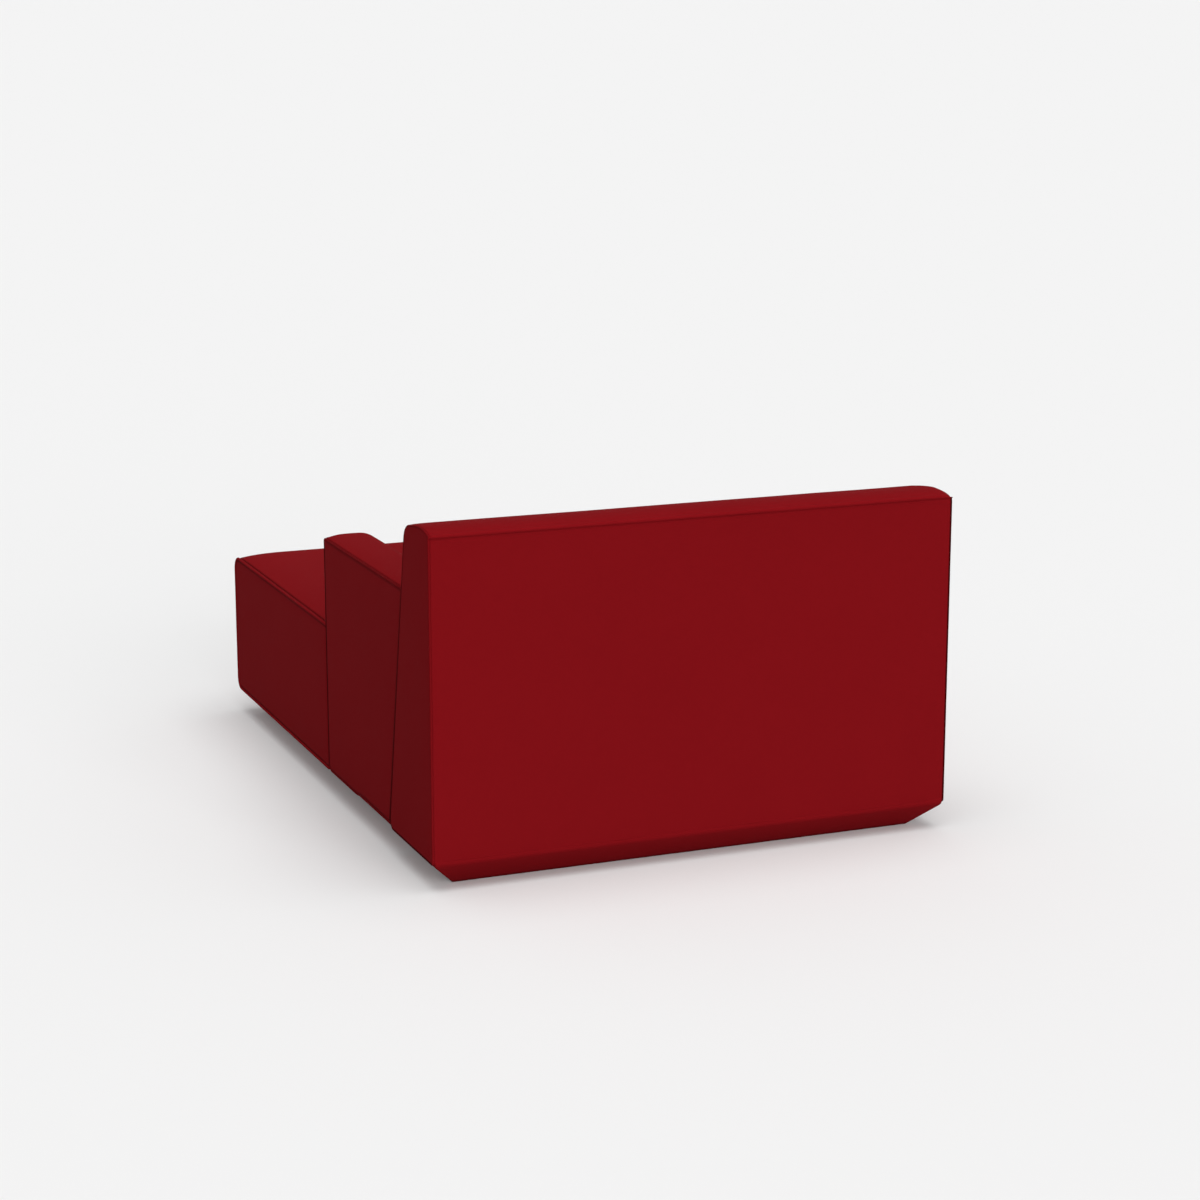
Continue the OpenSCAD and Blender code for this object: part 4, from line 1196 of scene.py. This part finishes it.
dust_sheet, dust_area = cut_sheet(
    "seat_dust_sheet",
    box=(0.4862, -0.6852, 0.3925),
    cut=(0.37124, -0.01126),
    z=0.0050,
    thickness=0.0006,
    spacing=0.022,
    seed=21.3,
    material=dust_cloth,
)
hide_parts("seat_dust_cover")
felt_pad, felt_area = cut_sheet(
    "seat_felt_pad",
    box=(0.5470, -0.7625, 0.4713),
    cut=(0.4402, 0.0057),
    z=0.2511,
    thickness=0.0036,
    spacing=0.030,
    seed=22.8,
    material=felt,
)
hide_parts("seat_felt")

# Webbing of the backrest: number of straps, their width, step and half length, foot of the lowest
STRAPS, STRAP_W, STRAP_STEP, STRAP_X = 5, 0.070, 0.11692, 0.5820
STRAP_Y, STRAP_Z = 0.5676, 0.10795
STRAP_CELLS, STRAP_ROWS = 60, (0.012, 0.03, 0.2, 0.4, 0.6, 0.8, 0.97, 0.988)
cloth = Cloth()
for k in range(STRAPS):
    z0 = STRAP_Z + k * STRAP_STEP
    across = [z0 + STRAP_W * share for share in STRAP_ROWS]
    rows = []
    for i in range(STRAP_CELLS + 1):
        px = -STRAP_X + 2 * STRAP_X * i / STRAP_CELLS
        sag = 0.0003 * wander(px, k, 0, 0.09, 23.5)
        rows.append([(px, STRAP_Y + (pz - STRAP_Z) * math.tan(RAKE) + sag, pz) for pz in across])
    cloth.grid(rows, [[(p[2] / math.cos(RAKE), p[0]) for p in row] for row in rows])
straps = finish_piece(cloth.build("back_straps"), "backrest", strap)
thicken(straps, 0.0014)
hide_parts("back_webbing")

# Camera

CAMERA_AT = (2.2782, 5.8280, 1.8275)
DOWN, ASIDE = math.radians(12.806), math.radians(22.159)
FOCAL_PX, FRAME_PX, SENSOR_MM = 2699.853, 1200, 36.0
# Half width of the floor, and how far the camera sees
FLOOR_HALF, FAR = 900, 3000
camera_data = bpy.data.cameras.new("camera")
camera_data.sensor_width = SENSOR_MM
camera_data.lens = FOCAL_PX * SENSOR_MM / FRAME_PX
camera_data.clip_end = FAR
camera = add_object("camera", camera_data)
camera.location = CAMERA_AT
level = math.cos(DOWN)
sight = Vector((-math.sin(ASIDE) * level, -math.cos(ASIDE) * level, -math.sin(DOWN)))
camera.rotation_euler = sight.to_track_quat("-Z", "Y").to_euler()
bpy.context.scene.camera = camera

# Floor, sky and light

# Level of the background that is seen, and strength of the sky's light
PALE, SKY = 0.896, 0.457
# Albedo of the floor as it is seen, and for the light that it throws back
FLOOR_ALBEDO, FLOOR_BOUNCE = 0.843, 0.45
# Share of the floor's own pale level in what is seen of it, which keeps its shadows soft
GLOW_SHARE, GLOW_LEVEL = 0.09, 0.885
# For each lamp: share of white light that it gives a face turned to it, width in degrees, direction
LAMPS = {
    "overhead": (0.480, 55, (-0.02, 0.137, 1.0)),
    "rear": (0.250, 50, (0, 0.92, 0.25)),
    "low_rear": (0.503, 40, (-0.06, 1.0, 0.12)),
}


def grey(value):
    return (value, value, value, 1)


def seen_directly(g):
    """1 for what the camera sees, directly or in a gloss or a pane, and 0 for light on its way."""
    ray = g.node("ShaderNodeLightPath").outputs
    straight = g.math("MAXIMUM", ray["Is Camera Ray"], ray["Is Glossy Ray"])
    return g.math("MAXIMUM", straight, ray["Is Transmission Ray"])


def mixed_shaders(g, factor, first, second):
    n = g.node("ShaderNodeMixShader")
    for socket, source in zip(n.inputs, (factor, first, second)):
        g.link(source, socket)
    return n.outputs[0]


floor_mesh = bpy.data.meshes.new("floor")
floor_corners = box_corners(-FLOOR_HALF, FLOOR_HALF, -FLOOR_HALF, FLOOR_HALF)
floor_mesh.from_pydata([(*p, 0) for p in floor_corners], [], [(0, 1, 2, 3)])
floor = add_object("floor", floor_mesh)
floor_mat, ground, floor_shader = new_material("floor")
floor_seen = seen_directly(ground)
floor_colour = ground.mix(floor_seen, grey(FLOOR_BOUNCE), grey(FLOOR_ALBEDO))
ground.link(floor_colour, floor_shader.inputs["Base Color"])
set_inputs(floor_shader, Roughness=1.0, Specular_IOR_Level=0.0)
glow = ground.node("ShaderNodeEmission")
set_inputs(glow, Color=grey(GLOW_LEVEL))
glow_seen = ground.math("MULTIPLY", floor_seen, GLOW_SHARE)
soft = mixed_shaders(ground, glow_seen, floor_shader.outputs[0], glow.outputs[0])
floor_out = next(n for n in floor_mat.node_tree.nodes if n.type == "OUTPUT_MATERIAL")
ground.link(soft, floor_out.inputs[0])
set_material(floor, floor_mat)

world = bpy.data.worlds.new("world")
bpy.context.scene.world = world
world.use_nodes = True
world.node_tree.nodes.clear()
sky = Graph(world)
lit = sky.node("ShaderNodeBackground")
set_inputs(lit, Color=grey(1.0), Strength=SKY)
shown = sky.node("ShaderNodeBackground")
set_inputs(shown, Color=grey(PALE))
both = mixed_shaders(sky, seen_directly(sky), lit.outputs[0], shown.outputs[0])
sky.link(both, sky.node("ShaderNodeOutputWorld").inputs[0])

for name, (share, width, direction) in LAMPS.items():
    lamp_data = bpy.data.lights.new(name, "SUN")
    lamp_data.energy = share * math.pi
    lamp_data.angle = math.radians(width)
    lamp = add_object(name, lamp_data)
    lamp.rotation_euler = Vector(direction).to_track_quat("Z", "Y").to_euler()

bpy.context.scene.view_settings.view_transform = "Standard"
